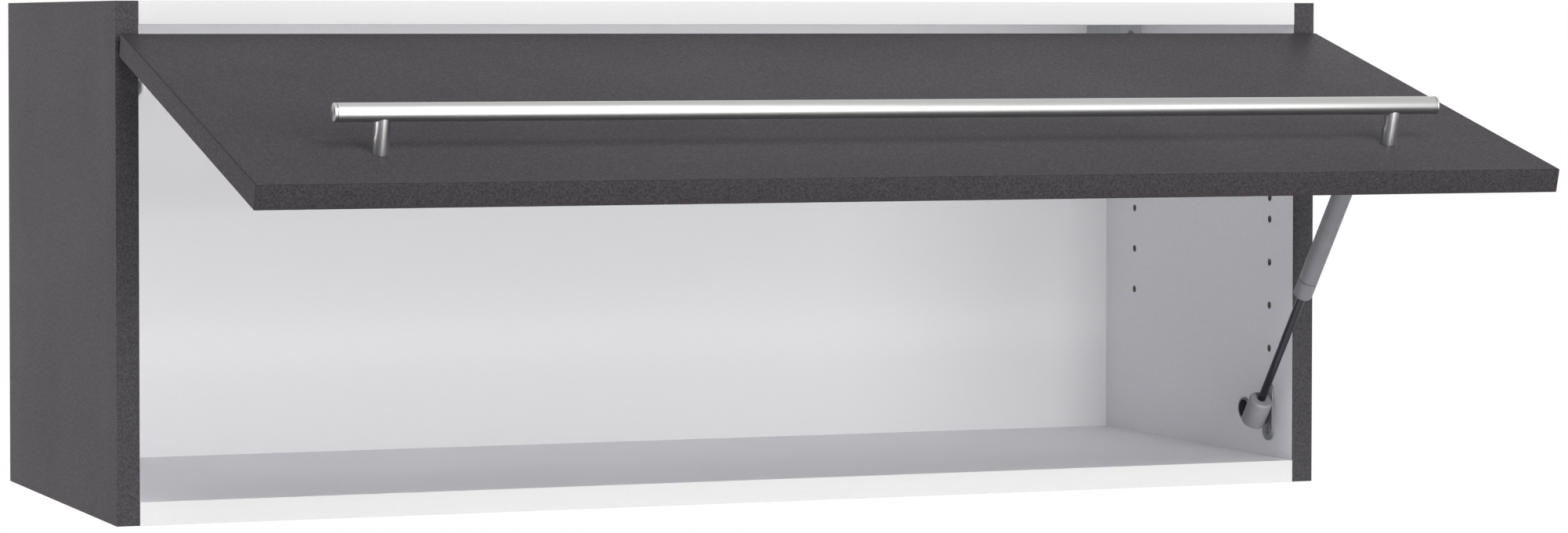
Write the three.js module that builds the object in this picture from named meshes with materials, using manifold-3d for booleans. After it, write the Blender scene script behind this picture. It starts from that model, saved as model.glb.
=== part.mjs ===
// Lift up wall cabinet: a two-tone board carcass with a graphite flap that swings up on two
// side-mounted hinges and is held open by one gas strut. Millimetres, +X right, +Y to the wall,
// +Z up. The origin is on the wall plane, in the middle of the bottom board's rear edge.
import * as THREE from 'three';
import { mergeVertices } from 'three/addons/utils/BufferGeometryUtils.js';
import Module from 'manifold-3d';

const wasm = await Module();
wasm.setup();

// ---- carcass: driving dimensions ----
const CABINET_WIDTH = 900;
const CABINET_HEIGHT = 352;
const CABINET_DEPTH = 330;
const BOARD = 16;
const EDGE_BAND = 1;
const BACK_BOARD = 3;
const BACK_INSET = 16;           // rear edges of the carcass to the rear of the back panel
const GROOVE_DEPTH = 7;
const FIT_GAP = 0.3;             // clearance round a piece that sits in a cut-out of another

// ---- holes for shelf pins ----
const PIN_HOLE = 5;
const PIN_HOLE_DEPTH = 9;
const HOLE_PITCH = 32;
const FRONT_HOLE_SETBACK = 37;
const HOLE_ROW_SPACING = 224;
const FRONT_ROW_FIRST = 96;      // height of the lowest hole over the cabinet's underside
const FRONT_ROW_HOLES = 5;
const REAR_ROW_FIRST = 128;
const REAR_ROW_HOLES = 4;
const SPARE_HOLE_HEIGHT = 208;   // one more hole between two of the front row

// ---- corner joints ----
const CAM_DIAMETER = 15;
const CAM_DEPTH = 12.5;
const CAM_FROM_END = 24;
const CAM_FROM_FRONT = 60;
const CAM_FROM_REAR = 70;
const CAM_SUNK = 0.2;            // cam under the board's outer face
const CAM_SLOT_WIDTH = 2;
const CAM_SLOT_LENGTH = 9;
const CAM_SLOT_DEPTH = 3;
const CAM_BOLT_THREAD = 6;
const CAM_BOLT_SHANK = 5;
const CAM_BOLT_HEAD = 7;
const CAM_BOLT_HEAD_LENGTH = 3;
const CAM_BOLT_IN_SIDE = 11;

// ---- flap ----
const FLAP_REVEAL = 2;           // carcass edge to flap edge, all round
const FLAP_BOARD = 16;
const FLAP_STANDOFF = 2;         // carcass front to the closed flap's inner face
const FLAP_OPEN_DEG = 75;
const BUMPER_DIAMETER = 8;
const BUMPER_FROM_FREE_EDGE = 14;

// ---- hinges, seen from the side ----
const BASE_PIN_SETBACK = 22.5;   // from the carcass front
const BASE_PIN_DROP = 63;        // under the cabinet's top
const FLAP_PIN_FROM_EDGE = 20;   // from the flap's hinge edge
const FLAP_PIN_FROM_FACE = 8;    // off the flap's inner face
const LINK_OPEN_DEG = 16.55;     // rise of the open link over the forward level
const LINK_THICKNESS = 2.2;
const LINK_WIDTH = 10;
const LINK_CLEARANCE = 0.3;
const HINGE_PLATE = 1.6;
const HINGE_PLATE_WIDTH = 32;
const HINGE_PLATE_FORWARD = 6;   // its middle lies this far in front of its screws
const HINGE_PLATE_DROP = 24;     // cabinet's top to the plate's upper edge
const HINGE_PLATE_HEIGHT = 48;
const HINGE_SCREW_DROP = 32;     // cabinet's top to the upper screw
const HINGE_EAR = 2;
const HINGE_FOOT = 2.5;
const HINGE_FOOT_FIRST = 15;     // from the flap's hinge edge
const HINGE_FOOT_LENGTH = 31;
const HINGE_FOOT_WIDTH = 24;
const HINGE_FOOT_SCREW_INSET = 8;
const HINGE_FOOT_SCREW_SHIFT = 1; // inward of the middle of the foot
const HINGE_EAR_FLANK = 0.9;     // angle where the ear's flank leaves its round top
const PIN_DIAMETER = 5;
const PIN_HEAD = 7;
const PIN_HEAD_HEIGHT = 0.9;
const PIN_HEAD_BEVEL = 0.4;
const PIN_CLEARANCE = 0.2;
const PIN_END_PLAY = 0.1;

// ---- gas strut ----
const STRUT_FROM_WALL = 10;      // right side panel to the strut's axis
const WALL_BALL_SETBACK = 37;
const WALL_BALL_HEIGHT = 49.5;
const FLAP_BALL_FROM_EDGE = 131;
const FLAP_BALL_FROM_FACE = 25;
const BALL_DIAMETER = 10;
const BALL_NECK = 5;
const BALL_CLEARANCE = 0.3;
const SOCKET_DIAMETER = 17.6;
const SOCKET_NOSE = 12.1;        // ball centre to the end that holds the rod or the tube
const SOCKET_TAIL = 10.5;        // ball centre to the free end
const SOCKET_TAIL_BEVEL = 1.2;
const SOCKET_NOSE_BEVEL = 1.4;
const SOCKET_FLAT = 8.2;         // axis to the flat on the side the stud comes in from
const ROD_DIAMETER = 6;
const TUBE_DIAMETER = 14;
const TUBE_WALL = 1.2;
const TUBE_END = 2.5;
const TUBE_BEVEL = 1.5;
const SLEEVE_START = 113.3;      // ball centre to the sleeve, with the strut extended
const SLEEVE_LENGTH = 15;
const SLEEVE_SPIGOT = 6;
const SLEEVE_ROUND = 1.5;
const PISTON_LENGTH = 8;
const WALL_PLATE = 1.5;
const WALL_PLATE_WIDTH = 15;
const WALL_PLATE_HEIGHT = 44;
const WALL_PLATE_ARM = 9;
const WALL_PLATE_PITCH = 29;     // between its screws
const RING_FROM_BALL = 37.5;
const RING_DROP = 1.2;           // from the ball's height down to the ring's middle
const RING_DIAMETER = 17;
const RING_HOLE = 14;
const PLUG_THICKNESS = 2;
const PLUG_BEVEL = 0.6;
const FOOT_EAR = 2.5;
const FOOT_EAR_GAP = 9.7;        // strut axis to the near face of the flap bracket's ear
const FOOT_EAR_RADIUS = 8;
const FOOT_EAR_LEAN = 0.35;      // angle of the ear's flanks to the foot
const FOOT_PLATE = 2.5;
const FOOT_LENGTH = 44;
const FOOT_WIDTH = 22;
const COLLAR_DIAMETER = 9;
const COLLAR_THICKNESS = 1.2;

// ---- handle ----
const HANDLE_FROM_FREE_EDGE = 62;
const HANDLE_POST_INSET = 96;    // from the flap's side edge
const HANDLE_OVERHANG = 32;
const HANDLE_BAR = 12;
const HANDLE_RISE = 27;          // outer face of the flap to the bar's axis
const HANDLE_POST = 10;
const HANDLE_SPIGOT = 5;
const HANDLE_SPIGOT_DEPTH = 6;
const HANDLE_SPIGOT_ROOT = 3;    // length of the spigot inside the post
const HANDLE_CAP = 1.6;
const HANDLE_CAP_BEVEL = 0.5;
const HANDLE_CAP_SPIGOT = 7;
const HANDLE_CAP_SPIGOT_LENGTH = 6;
const HANDLE_SCREW = 4;
const HANDLE_SCREW_IN_POST = 10;
const HANDLE_SCREW_HEAD = 8;
const HANDLE_SCREW_HEAD_HEIGHT = 2.4;
const HANDLE_SCREW_SLOT = 4;
const HANDLE_SCREW_SLOT_WIDTH = 1;
const HANDLE_SCREW_SLOT_DEPTH = 1.4;

// ---- cabinet hangers ----
const HANGER_WIDTH = 18;
const HANGER_DEPTH = 60;
const HANGER_HEIGHT = 42;
const HANGER_HOOK = 2.5;
const HANGER_HOOK_HEIGHT = 26;
const HANGER_TONGUE = 3.5;       // thickness of the hook's nose behind the wall rail
const HANGER_THROAT = 5.5;
const HANGER_THROAT_HEIGHT = 12;
const HANGER_HOOK_IN_BODY = 40;
const HANGER_SCREW = 5.5;
const HANGER_SCREW_DROP = 7;
const HANGER_SCREW_DEPTH = 20;
const HANGER_SCREW_SUNK = 0.6;
const HANGER_SCREW_PLAY = 2;
const HANGER_SCREW_SLOT = 3.6;
const HANGER_SCREW_SLOT_WIDTH = 1;
const HANGER_SCREW_SLOT_DEPTH = 1.4;
const HANGER_HOOK_DROP = 3;      // screw to the hook under it
const HANGER_NOTCH_COVER = 2;    // how far the housing laps over the edges of the back panel's notch

// ---- board screws ----
const SCREW_SHANK = 3.5;
const SCREW_HEAD = 7;
const SCREW_HEAD_HEIGHT = 1.8;
const SCREW_LENGTH = 13;
const SCREW_RECESS = 1;
const SCREW_RECESS_DEPTH = 1.4;
const SCREW_CROWN = 0.5;         // rise of the domed head over the plate
const SCREW_CROWN_SHARE = 0.7;   // share of the head's radius where the dome flattens
const SCREW_RECESS_REACH = 0.28; // share of the head that one arm of the cross takes

// ---- places that follow from the dimensions ----
const FRONT = -CABINET_DEPTH;
const BOTTOM = -BOARD / 2;
const TOP = BOTTOM + CABINET_HEIGHT;
const HALF_WIDTH = CABINET_WIDTH / 2;
const INNER_X = HALF_WIDTH - BOARD;
const FLOOR = BOTTOM + BOARD;
const CEILING = TOP - BOARD;
const BACK_FRONT = -BACK_INSET - BACK_BOARD;
const FLAP_WIDTH = CABINET_WIDTH - 2 * FLAP_REVEAL;
const FLAP_HEIGHT = CABINET_HEIGHT - 2 * FLAP_REVEAL;
const ROUND = 24;
const SMALL_ROUND = 16;

// ---- finishes ----
const FINISHES = {
  graphiteBoard: { color: 0x5c5a5c, roughness: 0.5, metalness: 0 },
  whiteBoard: { color: 0xe6e6e6, roughness: 0.45, metalness: 0 },
  graphiteBand: { color: 0x504e50, roughness: 0.4, metalness: 0 },
  whiteBand: { color: 0xeaeaea, roughness: 0.4, metalness: 0 },
  hardboard: { color: 0xdcdcde, roughness: 0.5, metalness: 0 },
  zinc: { color: 0x9a9ca0, roughness: 0.35, metalness: 0.9 },
  whiteLacquer: { color: 0xe8e8ea, roughness: 0.4, metalness: 0.1 },
  brushedSteel: { color: 0xb0b0ae, roughness: 0.3, metalness: 1 },
  greyPaint: { color: 0x7c7c80, roughness: 0.45, metalness: 0.2 },
  greyPlastic: { color: 0x8c8c90, roughness: 0.5, metalness: 0 },
  blackSteel: { color: 0x1c1c1e, roughness: 0.25, metalness: 0.8 },
  blackPlastic: { color: 0x121214, roughness: 0.5, metalness: 0 },
  clearRubber: { color: 0xd8d8d4, roughness: 0.4, metalness: 0 },
};

// ---- shape helpers ----
function toSolid(geometry) {
  const bare = geometry.clone();
  bare.deleteAttribute('normal');
  bare.deleteAttribute('uv');
  const merged = mergeVertices(bare, 1e-4);
  return new wasm.Manifold(new wasm.Mesh({
    numProp: 3,
    vertProperties: new Float32Array(merged.attributes.position.array),
    triVerts: new Uint32Array(merged.index.array),
  }));
}

function toGeometry(solid) {
  const mesh = solid.getMesh();
  const geometry = new THREE.BufferGeometry();
  geometry.setAttribute('position', new THREE.BufferAttribute(mesh.vertProperties, 3));
  geometry.setIndex(new THREE.BufferAttribute(mesh.triVerts, 1));
  const faceted = geometry.toNonIndexed();
  faceted.computeVertexNormals();
  return faceted;
}

function cut(base, tools) {
  let solid = toSolid(base);
  for (const tool of tools) solid = solid.subtract(toSolid(tool));
  return toGeometry(solid);
}

function join(shapes) {
  let solid = toSolid(shapes[0]);
  for (const shape of shapes.slice(1)) solid = solid.add(toSolid(shape));
  return toGeometry(solid);
}

// A box between two x, two y and two z values.
function box(x, y, z) {
  const geometry = new THREE.BoxGeometry(x[1] - x[0], y[1] - y[0], z[1] - z[0]);
  return geometry.translate((x[0] + x[1]) / 2, (y[0] + y[1]) / 2, (z[0] + z[1]) / 2);
}

// A round bar along Z from z[0] to z[1].
function bar(diameter, z, sides = SMALL_ROUND) {
  const geometry = new THREE.CylinderGeometry(diameter / 2, diameter / 2, z[1] - z[0], sides);
  return geometry.rotateX(Math.PI / 2).translate(0, 0, (z[0] + z[1]) / 2);
}

// A turned shape along Z; each profile point is [radius, z], from the axis back to the axis.
function turned(profile, sides = SMALL_ROUND) {
  const points = profile.map(([radius, z]) => new THREE.Vector2(radius, z));
  return new THREE.LatheGeometry(points, sides).rotateX(Math.PI / 2);
}

function ball(diameter, sides = SMALL_ROUND) {
  const rings = sides / 2;
  const points = [];
  for (let i = 0; i <= rings; i += 1) {
    const angle = Math.PI * (i / rings - 0.5);
    const radius = i === 0 || i === rings ? 0 : (diameter / 2) * Math.cos(angle);
    points.push([radius, (diameter / 2) * Math.sin(angle)]);
  }
  return turned(points, sides);
}

// Turns a shape that was made along +Z so that it lies along the given world direction.
function along(geometry, direction, place = [0, 0, 0]) {
  const turn = new THREE.Quaternion().setFromUnitVectors(
    new THREE.Vector3(0, 0, 1), new THREE.Vector3(...direction));
  return geometry.applyQuaternion(turn).translate(...place);
}

// A flat plate in a plane across X: the outline is drawn in (y, z), x gives its two faces.
function plateAcrossX(outline, x) {
  const shape = outline instanceof THREE.Shape ? outline : new THREE.Shape(outline);
  const geometry = new THREE.ExtrudeGeometry(shape, {
    depth: x[1] - x[0], bevelEnabled: false, curveSegments: SMALL_ROUND / 2,
  });
  const basis = new THREE.Matrix4().set(0, 0, 1, x[0], 1, 0, 0, 0, 0, 1, 0, 0, 0, 0, 0, 1);
  return geometry.applyMatrix4(basis);
}

// A bar outline with round ends from (0, 0) to (0, length) in the (y, z) plane.
function slotOutline(length, width) {
  const shape = new THREE.Shape();
  shape.absarc(0, length, width / 2, 0, Math.PI, false);
  shape.absarc(0, 0, width / 2, Math.PI, 2 * Math.PI, false);
  return shape;
}

// A raised countersunk screw along -Z: its head's edge is at z = 0.
function screwBody(length = SCREW_LENGTH) {
  const shank = SCREW_SHANK / 2;
  const head = SCREW_HEAD / 2;
  return turned([[0, -length], [shank, -length + shank], [shank, -SCREW_HEAD_HEIGHT], [head, 0],
    [head * SCREW_CROWN_SHARE, SCREW_CROWN * SCREW_CROWN_SHARE], [0, SCREW_CROWN]], 16);
}

// A cross-shaped recess as the two bars that cut it, each as long and as wide as given.
function cross(length, width, z) {
  const reach = length / 2;
  const half = width / 2;
  return [box([-reach, reach], [-half, half], z), box([-half, half], [-reach, reach], z)];
}

function crossRecess() {
  const z = [SCREW_CROWN - SCREW_RECESS_DEPTH, 1];
  return cross(2 * SCREW_HEAD * SCREW_RECESS_REACH, SCREW_RECESS, z);
}

function boardScrew() {
  return cut(screwBody(), crossRecess());
}

// A plate with its screws in place: direction is the way the heads face.
function withScrews(plate, places, direction) {
  const bodies = places.map((place) => along(screwBody(), direction, place));
  const recesses = places.flatMap(
    (place) => crossRecess().map((tool) => along(tool, direction, place)));
  return cut(join([plate, ...bodies]), recesses);
}

// The hole that a countersunk screw needs, along -Z from z = 0.
function screwHole(length = SCREW_LENGTH) {
  const shank = SCREW_SHANK / 2 + FIT_GAP;
  const head = SCREW_HEAD / 2 + FIT_GAP;
  return turned([[0, 0.5], [head, 0.5], [head, 0], [shank, -SCREW_HEAD_HEIGHT],
    [shank, -length - FIT_GAP], [0, -length - FIT_GAP]].reverse(), 12);
}

// ---- the scene graph ----
const cabinet = new THREE.Group();

function addPiece(parent, name, geometry, finish) {
  const mesh = new THREE.Mesh(geometry, new THREE.MeshStandardMaterial(FINISHES[finish]));
  mesh.name = name;
  parent.add(mesh);
  return mesh;
}

const SIDES = [{ name: 'left', sign: -1 }, { name: 'right', sign: 1 }];

// x values counted inward from the inner face of one side panel, low value first.
function inward(sign, near, far) {
  const a = sign * (INNER_X - near);
  const b = sign * (INNER_X - far);
  return [Math.min(a, b), Math.max(a, b)];
}

// ---- corner joints: places along the depth ----
const CAM_ROWS = [
  { name: 'front', y: FRONT + CAM_FROM_FRONT },
  { name: 'rear', y: -CAM_FROM_REAR },
];
const LEVELS = [
  { name: 'bottom', middle: BOTTOM + BOARD / 2, outer: BOTTOM, outward: -1 },
  { name: 'top', middle: TOP - BOARD / 2, outer: TOP, outward: 1 },
];

// The bolt of one corner joint, along +Z from the threaded end to the head in the cam.
function camBolt(gap = 0) {
  const shoulder = CAM_BOLT_IN_SIDE + gap;
  const headEnd = CAM_BOLT_IN_SIDE + CAM_FROM_END + CAM_BOLT_HEAD_LENGTH / 2 + gap;
  const headStart = headEnd - CAM_BOLT_HEAD_LENGTH - 2 * gap;
  const thread = CAM_BOLT_THREAD / 2 + gap;
  const shank = CAM_BOLT_SHANK / 2 + gap;
  const head = CAM_BOLT_HEAD / 2 + gap;
  return turned([[0, -gap], [thread, -gap], [thread, shoulder], [shank, shoulder],
    [shank, headStart], [head, headStart], [head, headEnd], [0, headEnd]], 12);
}

// Moves a shape made along +Z to a corner joint: z = inSide lies on the side panel's inner face.
function atCorner(geometry, sign, inSide, y, z) {
  return along(geometry, [-sign, 0, 0], [sign * (INNER_X + inSide), y, z]);
}

function addSidePanel(side) {
  const { sign } = side;
  const innerFace = [sign * INNER_X, 0, 0];
  const blind = (diameter, depth, y, z) => along(
    bar(diameter, [-1, depth], 12), [sign, 0, 0], [innerFace[0], y, z]);
  const holes = [];
  const frontRow = FRONT + FRONT_HOLE_SETBACK;
  for (let i = 0; i < FRONT_ROW_HOLES; i += 1) {
    holes.push(blind(PIN_HOLE, PIN_HOLE_DEPTH, frontRow, BOTTOM + FRONT_ROW_FIRST + i * HOLE_PITCH));
  }
  holes.push(blind(PIN_HOLE, PIN_HOLE_DEPTH, frontRow, BOTTOM + SPARE_HOLE_HEIGHT));
  for (let i = 0; i < REAR_ROW_HOLES; i += 1) {
    holes.push(blind(PIN_HOLE, PIN_HOLE_DEPTH, frontRow + HOLE_ROW_SPACING,
      BOTTOM + REAR_ROW_FIRST + i * HOLE_PITCH));
  }
  holes.push(backGroove(sign));
  for (const level of LEVELS) {
    for (const { y } of CAM_ROWS) {
      holes.push(atCorner(camBolt(FIT_GAP), sign, CAM_BOLT_IN_SIDE, y, level.middle));
    }
  }
  const screwed = (plate, [y, z]) => along(
    screwHole(), [-sign, 0, 0], [sign * (INNER_X - plate), y, z]);
  for (const place of HINGE_SCREWS) holes.push(screwed(HINGE_PLATE, place));
  if (sign > 0) {
    for (const place of WALL_PLATE_SCREWS) holes.push(screwed(WALL_PLATE, place));
  }
  const x = inward(sign, -BOARD, 0);
  addPiece(cabinet, `${side.name}_side_panel`,
    cut(box(x, [FRONT + EDGE_BAND, 0], [BOTTOM, TOP]), holes), 'graphiteBoard');
  addPiece(cabinet, `${side.name}_side_edge_band`,
    box(x, [FRONT, FRONT + EDGE_BAND], [BOTTOM, TOP]), 'graphiteBand');
}

// The groove that takes the back panel, as wide as the panel and its play.
function backGroove(sign) {
  const y = [BACK_FRONT - FIT_GAP, -BACK_INSET + FIT_GAP];
  return box(inward(sign, -GROOVE_DEPTH, 1), y, [FLOOR - GROOVE_DEPTH, CEILING + GROOVE_DEPTH]);
}

function addLevelPanel(level) {
  const { outward } = level;
  const cuts = [];
  const inner = level.outer - outward * BOARD;
  const grooveZ = [inner - outward, inner + outward * GROOVE_DEPTH].sort((a, b) => a - b);
  const grooveY = [BACK_FRONT - FIT_GAP, -BACK_INSET + FIT_GAP];
  cuts.push(box([-INNER_X - 1, INNER_X + 1], grooveY, grooveZ));
  for (const { sign } of SIDES) {
    for (const { y } of CAM_ROWS) {
      cuts.push(atCorner(camBolt(FIT_GAP), sign, CAM_BOLT_IN_SIDE, y, level.middle));
      cuts.push(along(bar(CAM_DIAMETER + 2 * FIT_GAP, [-CAM_DEPTH - FIT_GAP, 1]), [0, 0, outward],
        [sign * (INNER_X - CAM_FROM_END), y, level.outer]));
    }
  }
  const z = [level.middle - BOARD / 2, level.middle + BOARD / 2];
  addPiece(cabinet, `${level.name}_panel`,
    cut(box([-INNER_X, INNER_X], [FRONT + EDGE_BAND, 0], z), cuts), 'whiteBoard');
  addPiece(cabinet, `${level.name}_edge_band`,
    box([-INNER_X, INNER_X], [FRONT, FRONT + EDGE_BAND], z), 'whiteBand');
}

// A turned cam in the board's outer face, with the bolt that it draws in from the side panel.
function addCornerJoints(level) {
  const camBody = cut(bar(CAM_DIAMETER, [-CAM_DEPTH, -CAM_SUNK]),
    cross(CAM_SLOT_LENGTH, CAM_SLOT_WIDTH, [-CAM_SLOT_DEPTH, 1]));
  for (const side of SIDES) {
    for (const row of CAM_ROWS) {
      const place = [side.sign * (INNER_X - CAM_FROM_END), row.y, level.outer];
      const cam = along(camBody.clone(), [0, 0, level.outward], place);
      const bolt = atCorner(camBolt(), side.sign, CAM_BOLT_IN_SIDE, row.y, level.middle);
      addPiece(cabinet, `${level.name}_${side.name}_${row.name}_cam_lock`, join([cam, bolt]), 'zinc');
    }
  }
}

function addBackPanel() {
  const reach = INNER_X + GROOVE_DEPTH - FIT_GAP;
  const z = [FLOOR - GROOVE_DEPTH + FIT_GAP, CEILING + GROOVE_DEPTH - FIT_GAP];
  const notches = SIDES.map(({ sign }) => box(
    inward(sign, -GROOVE_DEPTH - 1, HANGER_WIDTH - HANGER_NOTCH_COVER),
    [BACK_FRONT - 1, -BACK_INSET + 1],
    [CEILING - HANGER_HEIGHT + HANGER_NOTCH_COVER, CEILING + GROOVE_DEPTH + 1]));
  const board = box([-reach, reach], [BACK_FRONT, -BACK_INSET], z);
  addPiece(cabinet, 'back_panel', cut(board, notches), 'hardboard');
}

// ---- cabinet hangers: a housing in each upper rear corner, with a steel hook to the wall rail ----
function addHanger(side) {
  const { sign } = side;
  const x = inward(sign, 0, HANGER_WIDTH);
  const rear = BACK_FRONT - FIT_GAP;
  const y = [rear - HANGER_DEPTH, rear];
  const z = [CEILING - HANGER_HEIGHT, CEILING];
  const middleX = sign * (INNER_X - HANGER_WIDTH / 2);
  const hookX = [middleX - HANGER_HOOK / 2, middleX + HANGER_HOOK / 2];
  const hookTop = CEILING - HANGER_SCREW_DROP - HANGER_SCREW / 2 - HANGER_HOOK_DROP;
  const hookZ = [hookTop - HANGER_HOOK_HEIGHT, hookTop];
  const screwPlace = [middleX, y[0], CEILING - HANGER_SCREW_DROP];
  const throat = [-HANGER_TONGUE - HANGER_THROAT, -HANGER_TONGUE];
  const throatTop = hookZ[0] + HANGER_THROAT_HEIGHT;
  const hookFront = rear - HANGER_HOOK_IN_BODY;
  const outline = [[hookFront, hookZ[0]], [throat[0], hookZ[0]], [throat[0], throatTop],
    [throat[1], throatTop], [throat[1], hookZ[0]], [0, hookZ[0]], [0, hookZ[1] - HANGER_THROAT],
    [throat[0], hookZ[1]], [hookFront, hookZ[1]]];
  const hook = plateAcrossX(outline.map(([hy, hz]) => new THREE.Vector2(hy, hz)), hookX);
  const slot = box([hookX[0] - FIT_GAP, hookX[1] + FIT_GAP],
    [hookFront - FIT_GAP, rear + 1], [hookZ[0] - FIT_GAP, hookZ[1] + FIT_GAP]);
  const screwBore = along(
    bar(HANGER_SCREW + 2 * FIT_GAP, [-1, HANGER_SCREW_DEPTH + FIT_GAP]), [0, 1, 0], screwPlace);
  const screw = cut(bar(HANGER_SCREW, [HANGER_SCREW_SUNK, HANGER_SCREW_DEPTH - HANGER_SCREW_PLAY]),
    cross(HANGER_SCREW_SLOT, HANGER_SCREW_SLOT_WIDTH,
      [-1, HANGER_SCREW_SUNK + HANGER_SCREW_SLOT_DEPTH]));
  addPiece(cabinet, `${side.name}_hanger_housing`, cut(box(x, y, z), [slot, screwBore]), 'zinc');
  addPiece(cabinet, `${side.name}_hanger_hook`, hook, 'zinc');
  addPiece(cabinet, `${side.name}_hanger_screw`, along(screw, [0, 1, 0], screwPlace), 'zinc');
}

// ---- hinge geometry, in the (y, z) plane ----
const FLAP_EDGE_Z = TOP - FLAP_REVEAL;
const BASE_PIN = [FRONT + BASE_PIN_SETBACK, TOP - BASE_PIN_DROP];
const CLOSED_FLAP_PIN = [
  FRONT - FLAP_STANDOFF + FLAP_PIN_FROM_FACE, FLAP_EDGE_Z - FLAP_PIN_FROM_EDGE];
const LINK_LENGTH = Math.hypot(
  CLOSED_FLAP_PIN[0] - BASE_PIN[0], CLOSED_FLAP_PIN[1] - BASE_PIN[1]);
const LINK_OPEN = THREE.MathUtils.degToRad(180 - LINK_OPEN_DEG);
const OPEN_FLAP_PIN = [
  BASE_PIN[0] + LINK_LENGTH * Math.cos(LINK_OPEN),
  BASE_PIN[1] + LINK_LENGTH * Math.sin(LINK_OPEN),
];
const HINGE_SCREWS = [1, 0].map((i) => [
  FRONT + FRONT_HOLE_SETBACK, TOP - HINGE_SCREW_DROP - i * HOLE_PITCH]);

// x values of each layer of a hinge, counted inward from the side panel.
const LINK_NEAR = HINGE_PLATE + LINK_CLEARANCE;
const LINK_FAR = LINK_NEAR + LINK_THICKNESS;
const EAR_NEAR = LINK_FAR + LINK_CLEARANCE;
const EAR_FAR = EAR_NEAR + HINGE_EAR;

// The flap's group: its origin is the flap's inner hinge edge, z runs down the flap to -height,
// -y is outward; it is turned by the opening angle about the flap pin.
const flap = new THREE.Group();
const FLAP_TURN = -THREE.MathUtils.degToRad(FLAP_OPEN_DEG);
function turnYZ([y, z], angle) {
  return [y * Math.cos(angle) - z * Math.sin(angle), y * Math.sin(angle) + z * Math.cos(angle)];
}
const FLAP_PIN_LOCAL = [FLAP_PIN_FROM_FACE, -FLAP_PIN_FROM_EDGE];
const FLAP_PIN_TURNED = turnYZ(FLAP_PIN_LOCAL, FLAP_TURN);
flap.position.set(0, OPEN_FLAP_PIN[0] - FLAP_PIN_TURNED[0], OPEN_FLAP_PIN[1] - FLAP_PIN_TURNED[1]);
flap.rotation.x = FLAP_TURN;
cabinet.add(flap);

// A headed pin along +Z: the underside of its head is at headAt, its plain end at end.
function pivotPin(headAt, end) {
  const head = PIN_HEAD / 2;
  const top = headAt - PIN_HEAD_HEIGHT;
  return turned([[0, top], [head - PIN_HEAD_BEVEL, top], [head, top + PIN_HEAD_BEVEL], [head, headAt],
    [PIN_DIAMETER / 2, headAt], [PIN_DIAMETER / 2, end], [0, end]]);
}

// The bore for a pin, through every layer of a hinge.
function pinBore(sign, y, z) {
  const bore = bar(PIN_DIAMETER + 2 * PIN_CLEARANCE, [-2 * EAR_FAR, 2 * EAR_FAR]);
  return along(bore, [sign, 0, 0], [sign * INNER_X, y, z]);
}

function addHinge(side) {
  const { sign } = side;
  const plateY = FRONT + FRONT_HOLE_SETBACK - HINGE_PLATE_FORWARD;
  const plate = box(inward(sign, 0, HINGE_PLATE),
    [plateY - HINGE_PLATE_WIDTH / 2, plateY + HINGE_PLATE_WIDTH / 2],
    [TOP - HINGE_PLATE_DROP - HINGE_PLATE_HEIGHT, TOP - HINGE_PLATE_DROP]);
  const plateScrews = HINGE_SCREWS.map(([y, z]) => [sign * (INNER_X - HINGE_PLATE), y, z]);
  addPiece(cabinet, `${side.name}_hinge_plate`,
    withScrews(cut(plate, [pinBore(sign, ...BASE_PIN)]), plateScrews, [-sign, 0, 0]), 'whiteLacquer');

  const linkGroup = new THREE.Group();
  linkGroup.position.set(0, ...BASE_PIN);
  linkGroup.rotation.x = LINK_OPEN - Math.PI / 2;
  const lever = plateAcrossX(slotOutline(LINK_LENGTH, LINK_WIDTH), inward(sign, LINK_NEAR, LINK_FAR));
  const link = cut(lever, [pinBore(sign, 0, 0), pinBore(sign, 0, LINK_LENGTH)]);
  addPiece(linkGroup, `${side.name}_hinge_link`, link, 'whiteLacquer');
  cabinet.add(linkGroup);

  const basePin = pivotPin(-LINK_FAR - 2 * PIN_END_PLAY, -PIN_END_PLAY);
  addPiece(cabinet, `${side.name}_hinge_base_pin`,
    along(basePin, [sign, 0, 0], [sign * INNER_X, ...BASE_PIN]), 'whiteLacquer');

  const [pinY, pinZ] = FLAP_PIN_LOCAL;
  const radius = LINK_WIDTH / 2;
  const flank = HINGE_EAR_FLANK;
  const footEnd = -HINGE_FOOT_FIRST - HINGE_FOOT_LENGTH;
  const ear = new THREE.Shape();
  ear.moveTo(FIT_GAP, pinZ + radius);
  ear.lineTo(FIT_GAP, footEnd);
  ear.lineTo(FIT_GAP + HINGE_FOOT, footEnd);
  ear.lineTo(pinY + radius * Math.cos(flank), pinZ - radius * Math.sin(flank));
  ear.absarc(pinY, pinZ, radius, -flank, Math.PI / 2, false);
  const foot = box(inward(sign, EAR_NEAR, EAR_NEAR + HINGE_FOOT_WIDTH),
    [FIT_GAP, FIT_GAP + HINGE_FOOT], [footEnd, -HINGE_FOOT_FIRST]);
  const bracket = cut(join([plateAcrossX(ear, inward(sign, EAR_NEAR, EAR_FAR)), foot]),
    [pinBore(sign, pinY, pinZ)]);
  addPiece(flap, `${side.name}_hinge_flap_bracket`,
    withScrews(bracket, hingeFootScrewPlaces(sign), [0, 1, 0]), 'whiteLacquer');

  const flapPin = pivotPin(-EAR_FAR - PIN_END_PLAY, -LINK_NEAR - PIN_END_PLAY);
  addPiece(flap, `${side.name}_hinge_flap_pin`,
    along(flapPin, [sign, 0, 0], [sign * INNER_X, pinY, pinZ]), 'whiteLacquer');
}

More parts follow.
